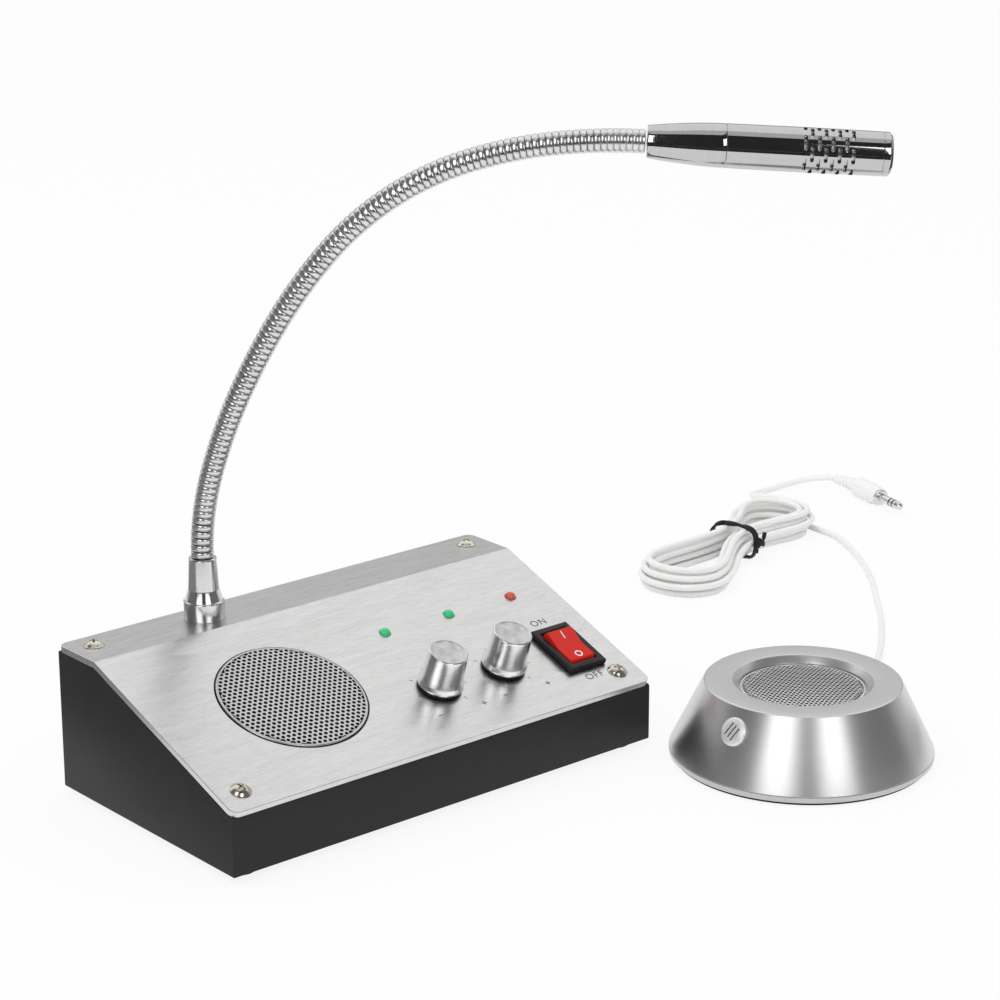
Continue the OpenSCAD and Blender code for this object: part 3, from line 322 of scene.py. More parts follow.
def sweepTube(path, radii, sides=20):
    # closed tube through path (mm), with a radius for each point
    bm = bmesh.new()
    rings = []
    for i, point in enumerate(path):
        ahead = (path[min(i + 1, len(path) - 1)] - path[max(i - 1, 0)]).normalized()
        side = Vector((0, 0, 1)).cross(ahead).normalized()
        up = ahead.cross(side)
        rings.append([bm.verts.new(point + radii[i] * (cos(a) * side + sin(a) * up))
                      for a in (2 * pi * k / sides for k in range(sides))])
    for low, high in zip(rings, rings[1:]):
        for k in range(sides):
            n = (k + 1) % sides
            bm.faces.new((low[k], low[n], high[n], high[k]))
    bm.faces.new(list(reversed(rings[0])))
    bm.faces.new(rings[-1])
    bmesh.ops.recalc_face_normals(bm, faces=bm.faces)
    return bm


# Geometry Nodes trees
def geoNode(tree, kind, *settings, **named):
    return treeNode(tree, "GeometryNode" + kind, *settings, **named)


def newTree(name, **sockets):
    tree = bpy.data.node_groups.new(name, "GeometryNodeTree")
    tree.interface.new_socket("Geometry", in_out="INPUT", socket_type="NodeSocketGeometry")
    for label, kind in sockets.items():
        tree.interface.new_socket(label.replace("_", " "), in_out="INPUT", socket_type="NodeSocket" + kind)
    tree.interface.new_socket("Geometry", in_out="OUTPUT", socket_type="NodeSocketGeometry")
    return tree, tree.nodes.new("NodeGroupInput").outputs, tree.nodes.new("NodeGroupOutput").inputs[0]


def painted(tree, geometry, looks):
    real = geoNode(tree, "RealizeInstances", Geometry=geometry)
    return geoNode(tree, "SetMaterial", Geometry=real[0], Material=looks)[0]


def moved(tree, geometry, **offset):
    shift = treeNode(tree, "ShaderNodeCombineXYZ", **offset)
    return geoNode(tree, "SetPosition", Geometry=geometry, Offset=shift[0])[0]


def grow(holder, tree, values):
    modifier = holder.modifiers.new("grow", "NODES")
    modifier.node_group = tree
    for item in tree.interface.items_tree:
        if item.item_type == "SOCKET" and item.in_out == "INPUT" and item.name in values:
            modifier[item.identifier] = values[item.name]
    return evaluatedMesh(holder)


def scatterTree():
    tree, given, result = newTree("scatterOnPoints", Part="Object", Size="Float", Finish="Material")
    part = geoNode(tree, "ObjectInfo", Object=given["Part"])
    turn = geoNode(tree, "InputNamedAttribute", {"data_type": "FLOAT_VECTOR"}, Name="turn")
    rotation = treeNode(tree, "FunctionNodeEulerToRotation", Euler=turn[0])
    spots = geoNode(tree, "InstanceOnPoints", Points=given["Geometry"], Scale=given["Size"],
                    Instance=part["Geometry"], Rotation=rotation[0])
    tree.links.new(painted(tree, spots[0], given["Finish"]), result)
    return tree


def ribTree():
    tree, given, result = newTree("ribsAlongCurve", Part="Object", Count="Int", Core_Radius="Float",
                                  Finish="Material", Core_Finish="Material")
    doubled = sums(tree, "MULTIPLY_ADD", given["Count"], 2.0, 1.0)
    line = geoNode(tree, "ResampleCurve", Curve=given["Geometry"], Count=doubled)[0]
    part = geoNode(tree, "ObjectInfo", Object=given["Part"])
    tangent = geoNode(tree, "InputTangent")[0]
    align = treeNode(tree, "FunctionNodeAlignRotationToVector", {"axis": "Z"}, Vector=tangent)
    odd = sums(tree, "MODULO", geoNode(tree, "InputIndex")[0], 2.0)
    spots = geoNode(tree, "InstanceOnPoints", Points=line, Selection=odd,
                    Instance=part["Geometry"], Rotation=align[0])
    circle = geoNode(tree, "CurvePrimitiveCircle", Resolution=24, Radius=given["Core Radius"])
    core = geoNode(tree, "CurveToMesh", Curve=line, Profile_Curve=circle[0], Fill_Caps=True)
    both = tree.nodes.new("GeometryNodeJoinGeometry")
    for geometry, looks in ((spots, "Finish"), (core, "Core Finish")):
        tree.links.new(painted(tree, geometry[0], given[looks]), both.inputs[0])
    tree.links.new(both.outputs[0], result)
    return tree


def sheetTree():
    tree, given, result = newTree("perforatedDisc", Cell="Object", Radius="Float", Pitch="Float", Rows="Int",
                                  Turn="Float", Dome="Float", Finish="Material")
    pitch, rows = given["Pitch"], given["Rows"]
    rowHeight = sums(tree, "MULTIPLY", pitch, sin(radians(60)))
    steps = sums(tree, "SUBTRACT", rows, 1.0)
    grid = geoNode(tree, "MeshGrid", Size_X=sums(tree, "MULTIPLY", steps, pitch),
                   Size_Y=sums(tree, "MULTIPLY", steps, rowHeight), Vertices_X=rows, Vertices_Y=rows)
    position = geoNode(tree, "InputPosition")[0]
    at = treeNode(tree, "ShaderNodeSeparateXYZ", Vector=position)
    row = sums(tree, "ROUND", sums(tree, "DIVIDE", at[1], rowHeight))
    aside = sums(tree, "MULTIPLY", sums(tree, "FLOORED_MODULO", row, 2.0), sums(tree, "MULTIPLY", pitch, 0.5))
    staggered = moved(tree, grid[0], X=aside)
    distance = treeNode(tree, "ShaderNodeVectorMath", {"operation": "LENGTH"}, {0: position})["Value"]
    outside = treeNode(tree, "FunctionNodeCompare", {"data_type": "FLOAT", "operation": "GREATER_THAN"},
                       {0: distance, 1: given["Radius"]})
    kept = geoNode(tree, "DeleteGeometry", {"domain": "POINT"}, Geometry=staggered, Selection=outside[0])
    cell = geoNode(tree, "ObjectInfo", Object=given["Cell"])
    spots = geoNode(tree, "InstanceOnPoints", Points=kept[0], Instance=cell["Geometry"])
    real = geoNode(tree, "RealizeInstances", Geometry=spots[0])
    joined = geoNode(tree, "MergeByDistance", Geometry=real[0], Distance=0.03)
    turned = treeNode(tree, "ShaderNodeCombineXYZ", Z=given["Turn"])
    spun = geoNode(tree, "Transform", Geometry=joined[0], Rotation=turned[0])
    share = sums(tree, "DIVIDE", distance, given["Radius"])
    rest = sums(tree, "SUBTRACT", 1.0, sums(tree, "MULTIPLY", share, share))
    domed = moved(tree, spun[0], Z=sums(tree, "MULTIPLY", rest, given["Dome"]))
    tree.links.new(painted(tree, domed, given["Finish"]), result)
    return tree


def stripTree():
    tree, given, result = newTree("twistedStrip", Width="Float", Thickness="Float", Twist="Float",
                                  Finish="Material")
    share = geoNode(tree, "SplineParameter")["Factor"]
    tilt = sums(tree, "MULTIPLY", share, given["Twist"])
    leaned = geoNode(tree, "SetCurveTilt", Curve=given["Geometry"], Tilt=tilt)
    section = geoNode(tree, "CurvePrimitiveQuadrilateral", Width=given["Width"], Height=given["Thickness"])
    soft = geoNode(tree, "FilletCurve", {"mode": "POLY"}, Curve=section[0], Count=2, Radius=0.12)
    strip = geoNode(tree, "CurveToMesh", Curve=leaned[0], Profile_Curve=soft[0], Fill_Caps=True)
    tree.links.new(painted(tree, strip[0], given["Finish"]), result)
    return tree


def pointsWithTurns(places):
    mesh = bpy.data.meshes.new("points")
    mesh.from_pydata([p for p, _ in places], [], [])
    turns = mesh.attributes.new("turn", "FLOAT_VECTOR", "POINT")
    for i, (_, turn) in enumerate(places):
        turns.data[i].vector = turn
    return looseObject("points", mesh)


def polyCurve(points, name="line"):
    line = bpy.data.curves.new(name, "CURVE")
    line.dimensions = "3D"
    spline = line.splines.new("POLY")
    spline.points.add(len(points) - 1)
    for target, point in zip(spline.points, points):
        target.co = (*point, 1)
    return looseObject(name, line)


scatter, ribs, perforated, twisted = scatterTree(), ribTree(), sheetTree(), stripTree()


def scattered(partMesh, spots, looks, matrix=Matrix()):
    # one copy of the part at each (place, turn)
    part = looseObject("part", partMesh)
    mesh = grow(pointsWithTurns(spots), scatter, {"Part": part, "Size": 1.0, "Finish": looks})
    bpy.data.objects.remove(part)
    mesh.transform(matrix)
    return mesh


toMetres = Matrix.Scale(0.001, 4)
print("node trees ready")

# cord: one smooth line from the strain relief through the hank to the plug, in metres
cord = {"diameter": 0.0024, "gap": 0.0006, "heading": 25.0, "exitHeight": 8.0, "reliefLength": 8.0,
        "hankAt": (0.324, 0.119), "hankHeading": 18.0, "half": (0.050, 0.042), "waist": 0.0017,
        "lobe": (0.011, 0.009), "turns": 2, "layers": 4, "rings": 24, "first": 5, "last": 174, "lift": 0.0009,
        "length": 1.92}
leadPoints = [
    (0.252, -0.0144, 0.0066), (0.258, -0.0114, 0.004), (0.265, -0.0078, 0.002), (0.273, -0.003, 0.0013),
    (0.283, 0.004, 0.00122), (0.294, 0.013, 0.0012), (0.305, 0.023, 0.0012), (0.316, 0.034, 0.0012),
    (0.327, 0.046, 0.0012), (0.338, 0.058, 0.0012), (0.348, 0.0705, 0.0012), (0.357, 0.0835, 0.0012),
    (0.3645, 0.097, 0.0012), (0.369, 0.108, 0.0012)]
tailPoints = [
    (0.3648, 0.144, 0.0098), (0.3675, 0.1515, 0.0078), (0.3735, 0.1585, 0.0052), (0.3815, 0.1635, 0.003),
    (0.391, 0.1664, 0.0017), (0.400, 0.1667, 0.0017), (0.4075, 0.1651, 0.0024), (0.413, 0.1614, 0.0034)]
plug = {"at": (417.0, 141.0, 4.1), "heading": -103.0, "r": 4.1, "length": 17.0, "bootLength": 13.0,
        "bootBend": 24.0, "bootRibs": 6, "pinR": 1.75, "pinLength": 14.0}


def runAt(a):
    share = 0.5 + 0.5 * cos(a)
    half, lobe = (pair[0] + (pair[1] - pair[0]) * share for pair in (cord["half"], cord["lobe"]))
    return Vector((half * cos(a), cord["waist"] * sin(a) + lobe / 0.385 * sin(a) * cos(a) ** 2))


def hankPoint(u):
    a = 2 * pi * u - pi / 2
    step = cord["diameter"] + cord["gap"]
    along = runAt(a + radians(0.5)) - runAt(a - radians(0.5))
    normal = Vector((along.y, -along.x)).normalized()
    track = abs(u % (2 * cord["turns"]) - cord["turns"])
    turnNo = math.floor(u / cord["turns"] + 0.5)
    past = u - turnNo * cord["turns"]
    if turnNo == 0:
        layer = 0
    elif turnNo == cord["layers"]:
        layer = cord["layers"] - 1
    else:
        layer = turnNo - 0.5 + min(max(past * 2, -0.5), 0.5)
    flat = (runAt(a) + normal * track * step) @ Matrix.Rotation(-radians(cord["hankHeading"]), 2)
    return Vector((cord["hankAt"][0] + flat.x, cord["hankAt"][1] + flat.y,
                   cord["diameter"] / 2 + layer * step + cord["lift"] * sin(a) ** 4))


def softened(points):
    # a rounder line through the same points
    result = []
    for i in range(len(points) - 1):
        a, b = points[max(i - 1, 0)], points[i]
        c, d = points[i + 1], points[min(i + 2, len(points) - 1)]
        result += [b, (9 * (b + c) - a - d) / 16]
    return result + [points[-1]]


bootArc = plug["bootLength"] / radians(plug["bootBend"])
plugHeading = radians(plug["heading"])
bootCentre = Vector(plug["at"]) + bootArc * Vector((sin(plugHeading), -cos(plugHeading), 0))


def bootPoint(bend):
    a = plugHeading + radians(bend)
    return bootCentre - bootArc * Vector((sin(a), -cos(a), 0))


cordHeading = radians(cord["heading"])
exitWay = Vector((cos(cordHeading), sin(cordHeading), 0))
exitAt = (Vector((outer["x"], outer["y"], cord["exitHeight"]))
          + exitWay * (shellR(cord["exitHeight"]) + cord["reliefLength"])) * 0.001
hankPath = [hankPoint(i / cord["rings"]) for i in range(cord["first"], cord["last"] + 1)]
bootStart = bootPoint(plug["bootBend"]) * 0.001
bootWay = plugHeading + radians(plug["bootBend"])
tailEnd = bootStart - Vector((cos(bootWay), sin(bootWay), 0)) * cord["diameter"]
hankIn = hankPath[0] - (hankPath[1] - hankPath[0]).normalized() * cord["diameter"]
hankOut = hankPath[-1] + (hankPath[-1] - hankPath[-2]).normalized() * cord["diameter"]
lead = softened([exitAt + exitWay * cord["diameter"]] + [Vector(p) for p in leadPoints] + [hankIn])
tail = softened([hankOut] + [Vector(p) for p in tailPoints] + [tailEnd])
origin = Vector((body["originX"], body["originY"], 0)) * 0.001
cordLine = [p - origin for p in softened(softened([exitAt] + lead + hankPath + tail + [bootStart]))]
for point in cordLine:
    point.z = max(point.z, cord["diameter"] / 2)
cordLength = sum((b - a).length for a, b in zip(cordLine, cordLine[1:]))
cordPiece = polyCurve(cordLine, "speakerCord")
cordPiece.data.bevel_depth = cord["diameter"] / 2
cordPiece.data.bevel_resolution = 5
cordPiece.data.use_fill_caps = True
cordPiece.data.materials.append(cordWhite)
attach(cordPiece, "root")
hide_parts("cord_lead", "cord_hank", "cord_tail")
print("cord ready, metres:", round(cordLength, 4))

# plug, boot, strain relief and tie
atPlug = place(Matrix.Translation(plug["at"]) @ turnBy(plug["heading"], "Z") @ turnBy(90, "Y"))
boot = {"small": 1.9, "large": 3.0, "groove": 0.75}
bootPath, bootRadii = [], []
for i in range(plug["bootRibs"] * 8 + 1):
    share = i / (plug["bootRibs"] * 8)
    bootPath.append(bootPoint(plug["bootBend"] * (1 - share)))
    wave = 0.5 - 0.5 * cos(2 * pi * (share * plug["bootRibs"]))
    lift = min(1.0, wave * 1.6)
    bootRadii.append(boot["small"] + (boot["large"] - boot["small"]) * share - boot["groove"] * (1 - lift))
bootPiece = settle("plugBoot", meshOf(sweepTube(bootPath, bootRadii, 28), place()), "root", cordWhite,
                   ["plug_boot"], 50)
plugR, plugEnd = plug["r"], plug["length"]
bodyProfile = rounded([
    (0, 0), (plugR - 0.9, 0, 0.5), (plugR, 1.5, 1.2), (plugR, plugEnd - 3.6, 0.3), (plugR - 0.5, plugEnd - 3, 0.3),
    (plugR - 0.5, plugEnd, 0.35), (0, plugEnd)])
plugPiece = settle("plugBody", meshOf(lathe(bodyProfile, 64), atPlug), "root", cordWhite, ["plug_body"])
pin = {"ring": 1.6, "sleeve": 6.4, "band": 1.6, "gap": 0.7, "core": 1.2}
pinR, pinEnd = plug["pinR"], pin["ring"] + plug["pinLength"]
pinProfile = [(0, 0), (plugR - 1, 0), (plugR - 1, pin["ring"], 0.3), (pinR, pin["ring"])]
z = pin["ring"] + pin["sleeve"]
for k in range(2):  # grooves for the two insulating rings
    pinProfile += [(pinR, z, 0.05), (pin["core"], z), (pin["core"], z + pin["gap"]), (pinR, z + pin["gap"], 0.05)]
    z += pin["gap"] + pin["band"]
pinProfile += [(pinR, pinEnd - 3, 0.3), (pinR - 0.55, pinEnd - 2.2, 0.3), (pinR - 0.1, pinEnd - 1.2, 0.5),
               (0.5, pinEnd, 0.4), (0, pinEnd)]
pinPiece = settle("plugPin", meshOf(lathe(rounded(pinProfile), 48), atPlug @ shiftBy(0, 0, plugEnd)),
                  "root", spunChrome, ["plug_pin"])

atExit = atOuter(turnBy(cord["heading"], "Z") @ shiftBy(0, 0, cord["exitHeight"]) @ turnBy(90, "Y"))
relief = {"grooves": 5, "step": 1.25, "deep": 0.25, "holeR": 2.45}
reliefProfile = [(0, -4.6), (3.4, -4.6), (3.4, -3.4), (2.4, -3.4), (2.4, 0.6)]
for k in range(relief["grooves"]):
    z = 1.4 + k * relief["step"]
    r = 2.4 - 0.5 * z / cord["reliefLength"]
    reliefProfile += [(r, z), (r - relief["deep"], z + 0.2), (r - relief["deep"], z + 0.5), (r - 0.04, z + 0.7)]
reliefProfile += [(1.9, 7.8), (1.75, cord["reliefLength"]), (0, cord["reliefLength"])]
reliefAt = atExit @ shiftBy(0, 0, shellR(cord["exitHeight"]))
settle("cordRelief", meshOf(lathe(reliefProfile, 40), reliefAt), "root", cordWhite, ["cord_grommet"],
       45)

tie = {"width": 1.7, "thick": 0.85, "halfY": 9.55, "half": 6.25, "middle": 6.75, "round": (3.0, 5.0),
       "aside": 0.85, "turns": 2, "knotY": -10.3, "knotSize": (1.6, 0.8), "knotTurns": 2.3,
       "knotSteps": (12, 48, 60), "freeStep": 0.42}
atHank = place(shiftBy(cord["hankAt"][0] * 1000, cord["hankAt"][1] * 1000, 0)
               @ turnBy(cord["hankHeading"], "Z"))
tieLoop = []
for k in range(48 * tie["turns"] + 1):  # rounds lie side by side and end at the knot
    a = pi + 2 * pi * k / 48
    power = 2 / (tie["round"][0] if sin(a) > 0 else tie["round"][1])
    tieLoop.append(Vector((
        tie["aside"] * (k / (24 * tie["turns"]) - 1) + 0.15 * sin(3 * a),
        tie["halfY"] * math.copysign(abs(cos(a)) ** power, cos(a)),
        tie["middle"] + tie["half"] * math.copysign(abs(sin(a)) ** power, sin(a)))))
tieMesh = grow(polyCurve(tieLoop), twisted,
               {"Width": tie["width"], "Thickness": tie["thick"], "Twist": 8 * pi, "Finish": mouldedBlack})
knotCurl = []
knotFirst, knotLast, knotSteps = tie["knotSteps"]
for k in range(knotSteps):  # two small turns of the knot, between its free ends
    a = 2 * pi * tie["knotTurns"] * min(max((k - knotFirst) / 36, 0), 1)
    side = -1 if k < knotFirst else 1
    far = tie["freeStep"] * max(knotFirst - k, k - knotLast + 1, 0)
    knotCurl.append(Vector((
        1.6 * sin(a) + 0.34 * far * side, tie["knotY"] - 0.4 - 1.7 * (1 - cos(a)) * 0.5,
        6.5 + 2.0 * sin(a + 0.8) * cos(a) + side * far * 0.9)))
knotWidth, knotThick = tie["knotSize"]
knotMesh = grow(polyCurve(softened(knotCurl)), twisted,
                {"Width": knotWidth, "Thickness": knotThick, "Twist": 9 * pi, "Finish": mouldedBlack})
tieBm = bmesh.new()
tieBm.from_mesh(tieMesh)
tieBm.from_mesh(knotMesh)
bmesh.ops.remove_doubles(tieBm, verts=tieBm.verts, dist=0.001)
for vertex in tieBm.verts:
    vertex.co.z = max(vertex.co.z, 0.02)
bmesh.ops.recalc_face_normals(tieBm, faces=tieBm.faces)
tiePiece = settle("twistTie", meshOf(tieBm, atHank), "root", mouldedBlack, ["twist_tie"], 45)
print("plug and tie ready")

# console: housing and face plate keep the CAD form, with broken edges
settle("housing", bevelledCopy("base_housing", 0.45, least=6), "root", housingPaint, ["base_housing"])
settle("facePlate", bevelledCopy("face_plate", 0.22, least=0.5), "root", brushedPlate, ["face_plate"],
       18)

# face screws with a cross recess
screw = {"r": 3.4, "height": 1.8, "inset": 8.2, "armLength": 2.0, "armWidth": 0.45, "deep": 1.2}
domeR = (screw["r"] ** 2 + screw["height"] ** 2) / (2 * screw["height"])
screwProfile = [(0, -8.0), (1.5, -8.0), (1.5, 0), (screw["r"] - 0.15, 0), (screw["r"], 0.18)]
for k in range(8):
    a = math.asin(screw["r"] / domeR) * (1 - k / 8)
    z = screw["height"] - domeR + domeR * cos(a)
    if z > 0.25:
        screwProfile.append((domeR * sin(a) * 0.99, z))
screwProfile.append((0, screw["height"]))
screwMesh = meshOf(lathe(screwProfile, 40))
for turn in (0, 90):
    crossBm = bmesh.new()
    arm = bmesh.ops.create_cube(crossBm, size=1.0)["verts"]
    for vertex in arm:  # arms narrow towards the bottom of the recess
        low = vertex.co.z < 0
        vertex.co = Vector((vertex.co.x * 2 * screw["armLength"] * (0.45 if low else 1),
                            vertex.co.y * 2 * screw["armWidth"] * (0.6 if low else 1),
                            screw["height"] - screw["deep"] if low else screw["height"] + 0.4))
    bmesh.ops.rotate(crossBm, verts=arm, cent=(0, 0, 0), matrix=Matrix.Rotation(radians(turn), 3, "Z"))
    screwMesh = cutWith(screwMesh, meshOf(crossBm))
screwMesh.shade_smooth()
spots = []
for x, turn in ((screw["inset"], 0.35), (body["width"] - screw["inset"], 1.1)):
    for matrix in (onSlope(x, screw["inset"]), onTop(x, body["depth"] - screw["inset"])):
        upright = (matrix @ turnBy(math.degrees(turn), "Z")).to_euler()
        spots.append((matrix.translation * 1000, tuple(upright)))
        turn += 0.7
settle("faceScrews", scattered(screwMesh, spots, screwMetal, toMetres), "root", screwMetal, ["face_screws"],
       30)
print("console body ready")


# perforated grilles: hexagonal cells, each with a round hole
def grilleCell(pitch, holeR, thick):
    bm = bmesh.new()
    ways = [(cos(radians(30 * k)), sin(radians(30 * k))) for k in range(12)]
    reach = [pitch / 2, pitch / math.sqrt(3)] * 6
    topOut, topIn, lowOut, lowIn = (
        [bm.verts.new((r * x, r * y, z)) for r, (x, y) in zip(radii, ways)]
        for radii, z in ((reach, 0), ([holeR] * 12, 0), (reach, -thick), ([holeR + 0.05] * 12, -thick)))
    for k in range(12):
        n = (k + 1) % 12
        bm.faces.new((topOut[k], topOut[n], topIn[n], topIn[k]))
        bm.faces.new((lowOut[n], lowOut[k], lowIn[k], lowIn[n]))
        bm.faces.new((topIn[k], topIn[n], lowIn[n], lowIn[k]))
    return meshOf(bm)


def grilleMesh(size, matrix, looks):
    cellPart = looseObject("cellPart", grilleCell(size["pitch"], size["hole"] / 2, size["thick"]))
    rows = 2 * int(size["field"] / (size["pitch"] * 0.866) + 2) + 1
    mesh = grow(pointsWithTurns([((0, 0, 0), (0, 0, 0))]), perforated, {
        "Cell": cellPart, "Radius": size["field"], "Pitch": size["pitch"], "Rows": rows,
        "Turn": radians(size["turn"]), "Dome": size["dome"], "Finish": looks})
    bpy.data.objects.remove(cellPart)
    bm = bmesh.new()
    bm.from_mesh(mesh)
    border = [e for e in bm.edges if e.is_boundary]
    bmesh.ops.bridge_loops(bm, edges=border)
    bmesh.ops.translate(bm, verts=bm.verts, vec=(0, 0, size["level"]))
    bmesh.ops.recalc_face_normals(bm, faces=bm.faces)
    bm.from_mesh(meshOf(lathe(rounded(size["rim"]), 96)))
    return meshOf(bm, matrix)


consoleGrille = {
    "pitch": 1.87, "hole": 1.3, "thick": 0.5, "field": 23.05, "turn": -8.5, "dome": 0.45, "level": 0.45,
    "x": 49.1, "s": 39.2, "rim": [(23.3, -2.1), (24.15, -2.1), (24.15, 0.3, 0.3), (23.3, 0.5, 0.2), (23.3, -0.2)]}
consoleGrilleMesh = grilleMesh(consoleGrille, onSlope(consoleGrille["x"], consoleGrille["s"]), grilleMetal)
settle("consoleGrille", consoleGrilleMesh, "root", grilleMetal, ["console_grille"], 30)
outerGrille = {
    "pitch": 1.5, "hole": 1.14, "thick": 0.5, "field": 19.45, "turn": 24, "dome": 0.7, "level": 23.75,
    "rim": [(19.7, 22.6), (20.5, 22.6), (20.5, 23.6, 0.3), (19.7, 23.75, 0.15), (19.7, 23.1)]}
# the outer grille takes the lighter copy of the grille metal, a painted highlight on its hole rims
settle("outerGrille", grilleMesh(outerGrille, atOuter(), outerGrilleMetalPaintedHighlight), "root", outerGrilleMetalPaintedHighlight, ["outer_grille"],
       30)
print("grilles ready")

# volume knobs: a flared foot, and a shallow dish in the top
knob = {"x": 97.4, "step": 26.7, "s": 25.0, "low": 1.15, "skirtR": 7.55, "topR": 6.35,
        "tickR": 9.3, "tick": (1.3, 0.22, 0.03)}
knobProfile = [(6.25, knob["low"])] + rounded([
    (knob["skirtR"], knob["low"], 0.25), (knob["skirtR"], 2.0, 0.3), (6.98, 3.3, 1.2), (6.78, 4.7, 2.5),
    (knob["topR"] + 0.05, 13.1, 0.3), (knob["topR"], 13.75, 0.2), (knob["topR"] - 0.35, 14.0, 0.2),
    (knob["topR"] - 0.75, 14.0, 0.05), (knob["topR"] - 0.9, 13.9, 0.05)])
knobProfile += [(0, 13.88), (0, 12.15), (5.05, 12.15), (5.05, 3.25), (6.25, 3.25)]
for i, (node, rider) in enumerate((("knob_inside", "knob_inside_turn"), ("knob_outside", "knob_outside_turn"))):
    x = knob["x"] + i * knob["step"]
    knobMesh = meshOf(lathe(knobProfile, 96))
    knobMesh.materials.append(knobMetal)
    knobMesh.materials.append(knobTopPaintedHighlight)
    # the flat top faces take the knob-top metal with its painted highlight sectors
    for face in knobMesh.polygons:
        face.material_index = 1 if face.normal.z > 0.9 and face.center.z > 13.7 else 0
    knobMesh.transform(onSlope(x, knob["s"]))
    settle(("insideKnob", "outsideKnob")[i], knobMesh, rider, None, [node], 28, keepLooks=True)


# marks on the plate: ticks round the knobs, minus, plus, ON and OFF
def boxMesh(size):
    bm = bmesh.new()
    bmesh.ops.create_cube(bm, size=1.0)
    for vertex in bm.verts:
        vertex.co = Vector(vertex.co[i] * size[i] for i in range(3))
    bmesh.ops.bevel(bm, geom=list(bm.edges), offset=min(size) * 0.3, segments=1, affect="EDGES")
    return meshOf(bm)


def markSpots(x, s, turnZ, away=0.0):
    matrix = onSlope(x, s, 0.015) @ turnBy(turnZ, "Z") @ shiftBy(away, 0, 0)
    return matrix.translation * 1000, tuple(matrix.to_euler())


tickSpots = [markSpots(knob["x"] + i * knob["step"], knob["s"], turn, knob["tickR"])
             for i in range(2) for turn in range(-60, 241, 50)]
signs = {"minus": [(88.8, 12.9, 0), (115.5, 12.9, 0)], "plus": [(106.2, 12.4, 0), (132.9, 12.4, 0)],
         "stroke": (1.9, 0.34, 0.03)}
strokes = [markSpots(x, s, turn) for x, s, turn in signs["minus"] + signs["plus"]]
strokes += [markSpots(x, s, 90) for x, s, _ in signs["plus"]]
for name, size, spots in (("knobTicks", knob["tick"], tickSpots), ("knobSigns", signs["stroke"], strokes)):
    settle(name, scattered(boxMesh(size), spots, markInk, toMetres), "root", markInk, ())


def wordMesh(words, size, matrix):
    font = bpy.data.curves.new("word", "FONT")
    font.body = words
    font.size = size
    font.align_x = "CENTER"
    font.align_y = "CENTER"
    font.space_character = 1.15
    font.offset = -0.01
    font.extrude = 0.012
    mesh = evaluatedMesh(looseObject("word", font))
    mesh.transform(matrix)
    return mesh


# words at the switch, and its rocker
switch = {"x": 150.8, "s": 23.8, "pivot": -1.5, "tilt": 8.0, "crown": 3.9, "wordSize": 3.9, "onAt": 39.3,
          "offAt": 9.4, "stroke": (0.42, 3.0, 0.04), "strokeAt": 4.5, "circleR": (0.95, 1.42), "circleAt": -4.6}
for words, s in (("ON", switch["onAt"]), ("OFF", switch["offAt"])):
    word = wordMesh(words, switch["wordSize"], onSlope(switch["x"], s, 0.015))
    settle("mark" + words.capitalize(), word, "root", markInk, ())
settle("switchFrame", bevelledCopy("switch_frame", 0.35, least=3), "root", mouldedBlack, ["switch_frame"])
settle("switchRocker", bevelledCopy("switch_rocker", 0.28, least=0.2, angle=40), "rocker", rockerRed,
       ["switch_rocker"], 25)
atRocker = onSlope(switch["x"], switch["s"], switch["pivot"]) @ turnBy(switch["tilt"], "X")
crown = atRocker @ shiftBy(0, 0, switch["crown"])
strokeMesh = boxMesh(switch["stroke"])
strokeMesh.transform(crown @ turnBy(switch["tilt"], "X") @ shiftBy(0, switch["strokeAt"], 0.02))
settle("rockerStroke", strokeMesh, "rocker", markWhite, ())
inner, rim = switch["circleR"]
circle = lathe(rounded([(inner, -0.02), (rim, -0.02), (rim, 0.03, 0.02), (inner, 0.03, 0.02)]), 40)
circleMesh = meshOf(circle, crown @ turnBy(-switch["tilt"], "X") @ shiftBy(0, switch["circleAt"], 0.01))
settle("rockerCircle", circleMesh, "rocker", markWhite, ())
print("controls ready")

# gooseneck: collar, then ribbed lengths that bend across each joint
neck = {"x": 49.5, "y": 83.1, "heading": -40.3, "link": 27.1, "bends": [15.5, 9, 6.5, 9.5, 16, 16.5, 11.5, 8.7],
        "start": 70.7, "ribs": 13, "coreR": 3.25, "reach": 13.2, "steps": 24}
collarProfile = rounded([
    (1.0, -8.1), (3.6, -8.1), (4.0, -7.7), (4.0, 0), (6.7, 0, 0.2), (6.7, 5.9, 0.45), (6.2, 6.3, 0.2),
    (5.1, 9.9, 1.5), (4.55, 20.0, 0.3), (4.2, 20.4, 0.15), (3.4, 20.4), (3.4, 16.0), (1.0, 16.0)])
settle("neckCollar", meshOf(lathe(collarProfile, 96), onTop(neck["x"], neck["y"])), "root", spunChrome,
       ["neck_collar"], 28)


def neckPoint(s):
    # point and tangent at a distance s from the first joint, in millimetres of the console
    lean = 0.0
    at = Vector((0, neck["start"]))
    for bend in neck["bends"]:
        part = min(max(s, 0), neck["link"])
        turn = radians(bend)
        radius = neck["link"] / turn
        after = lean + turn * part / neck["link"]
        at += radius * Vector((cos(lean) - cos(after), sin(after) - sin(lean)))
        lean = after
        s -= neck["link"]
        if s <= 0:
            break
    heading = radians(neck["heading"])
    across = Vector((cos(heading), sin(heading), 0))
    point = Vector((neck["x"], neck["y"], 0)) + across * at.x + Vector((0, 0, at.y))
    tangent = across * sin(lean) + Vector((0, 0, cos(lean)))
    return point, tangent


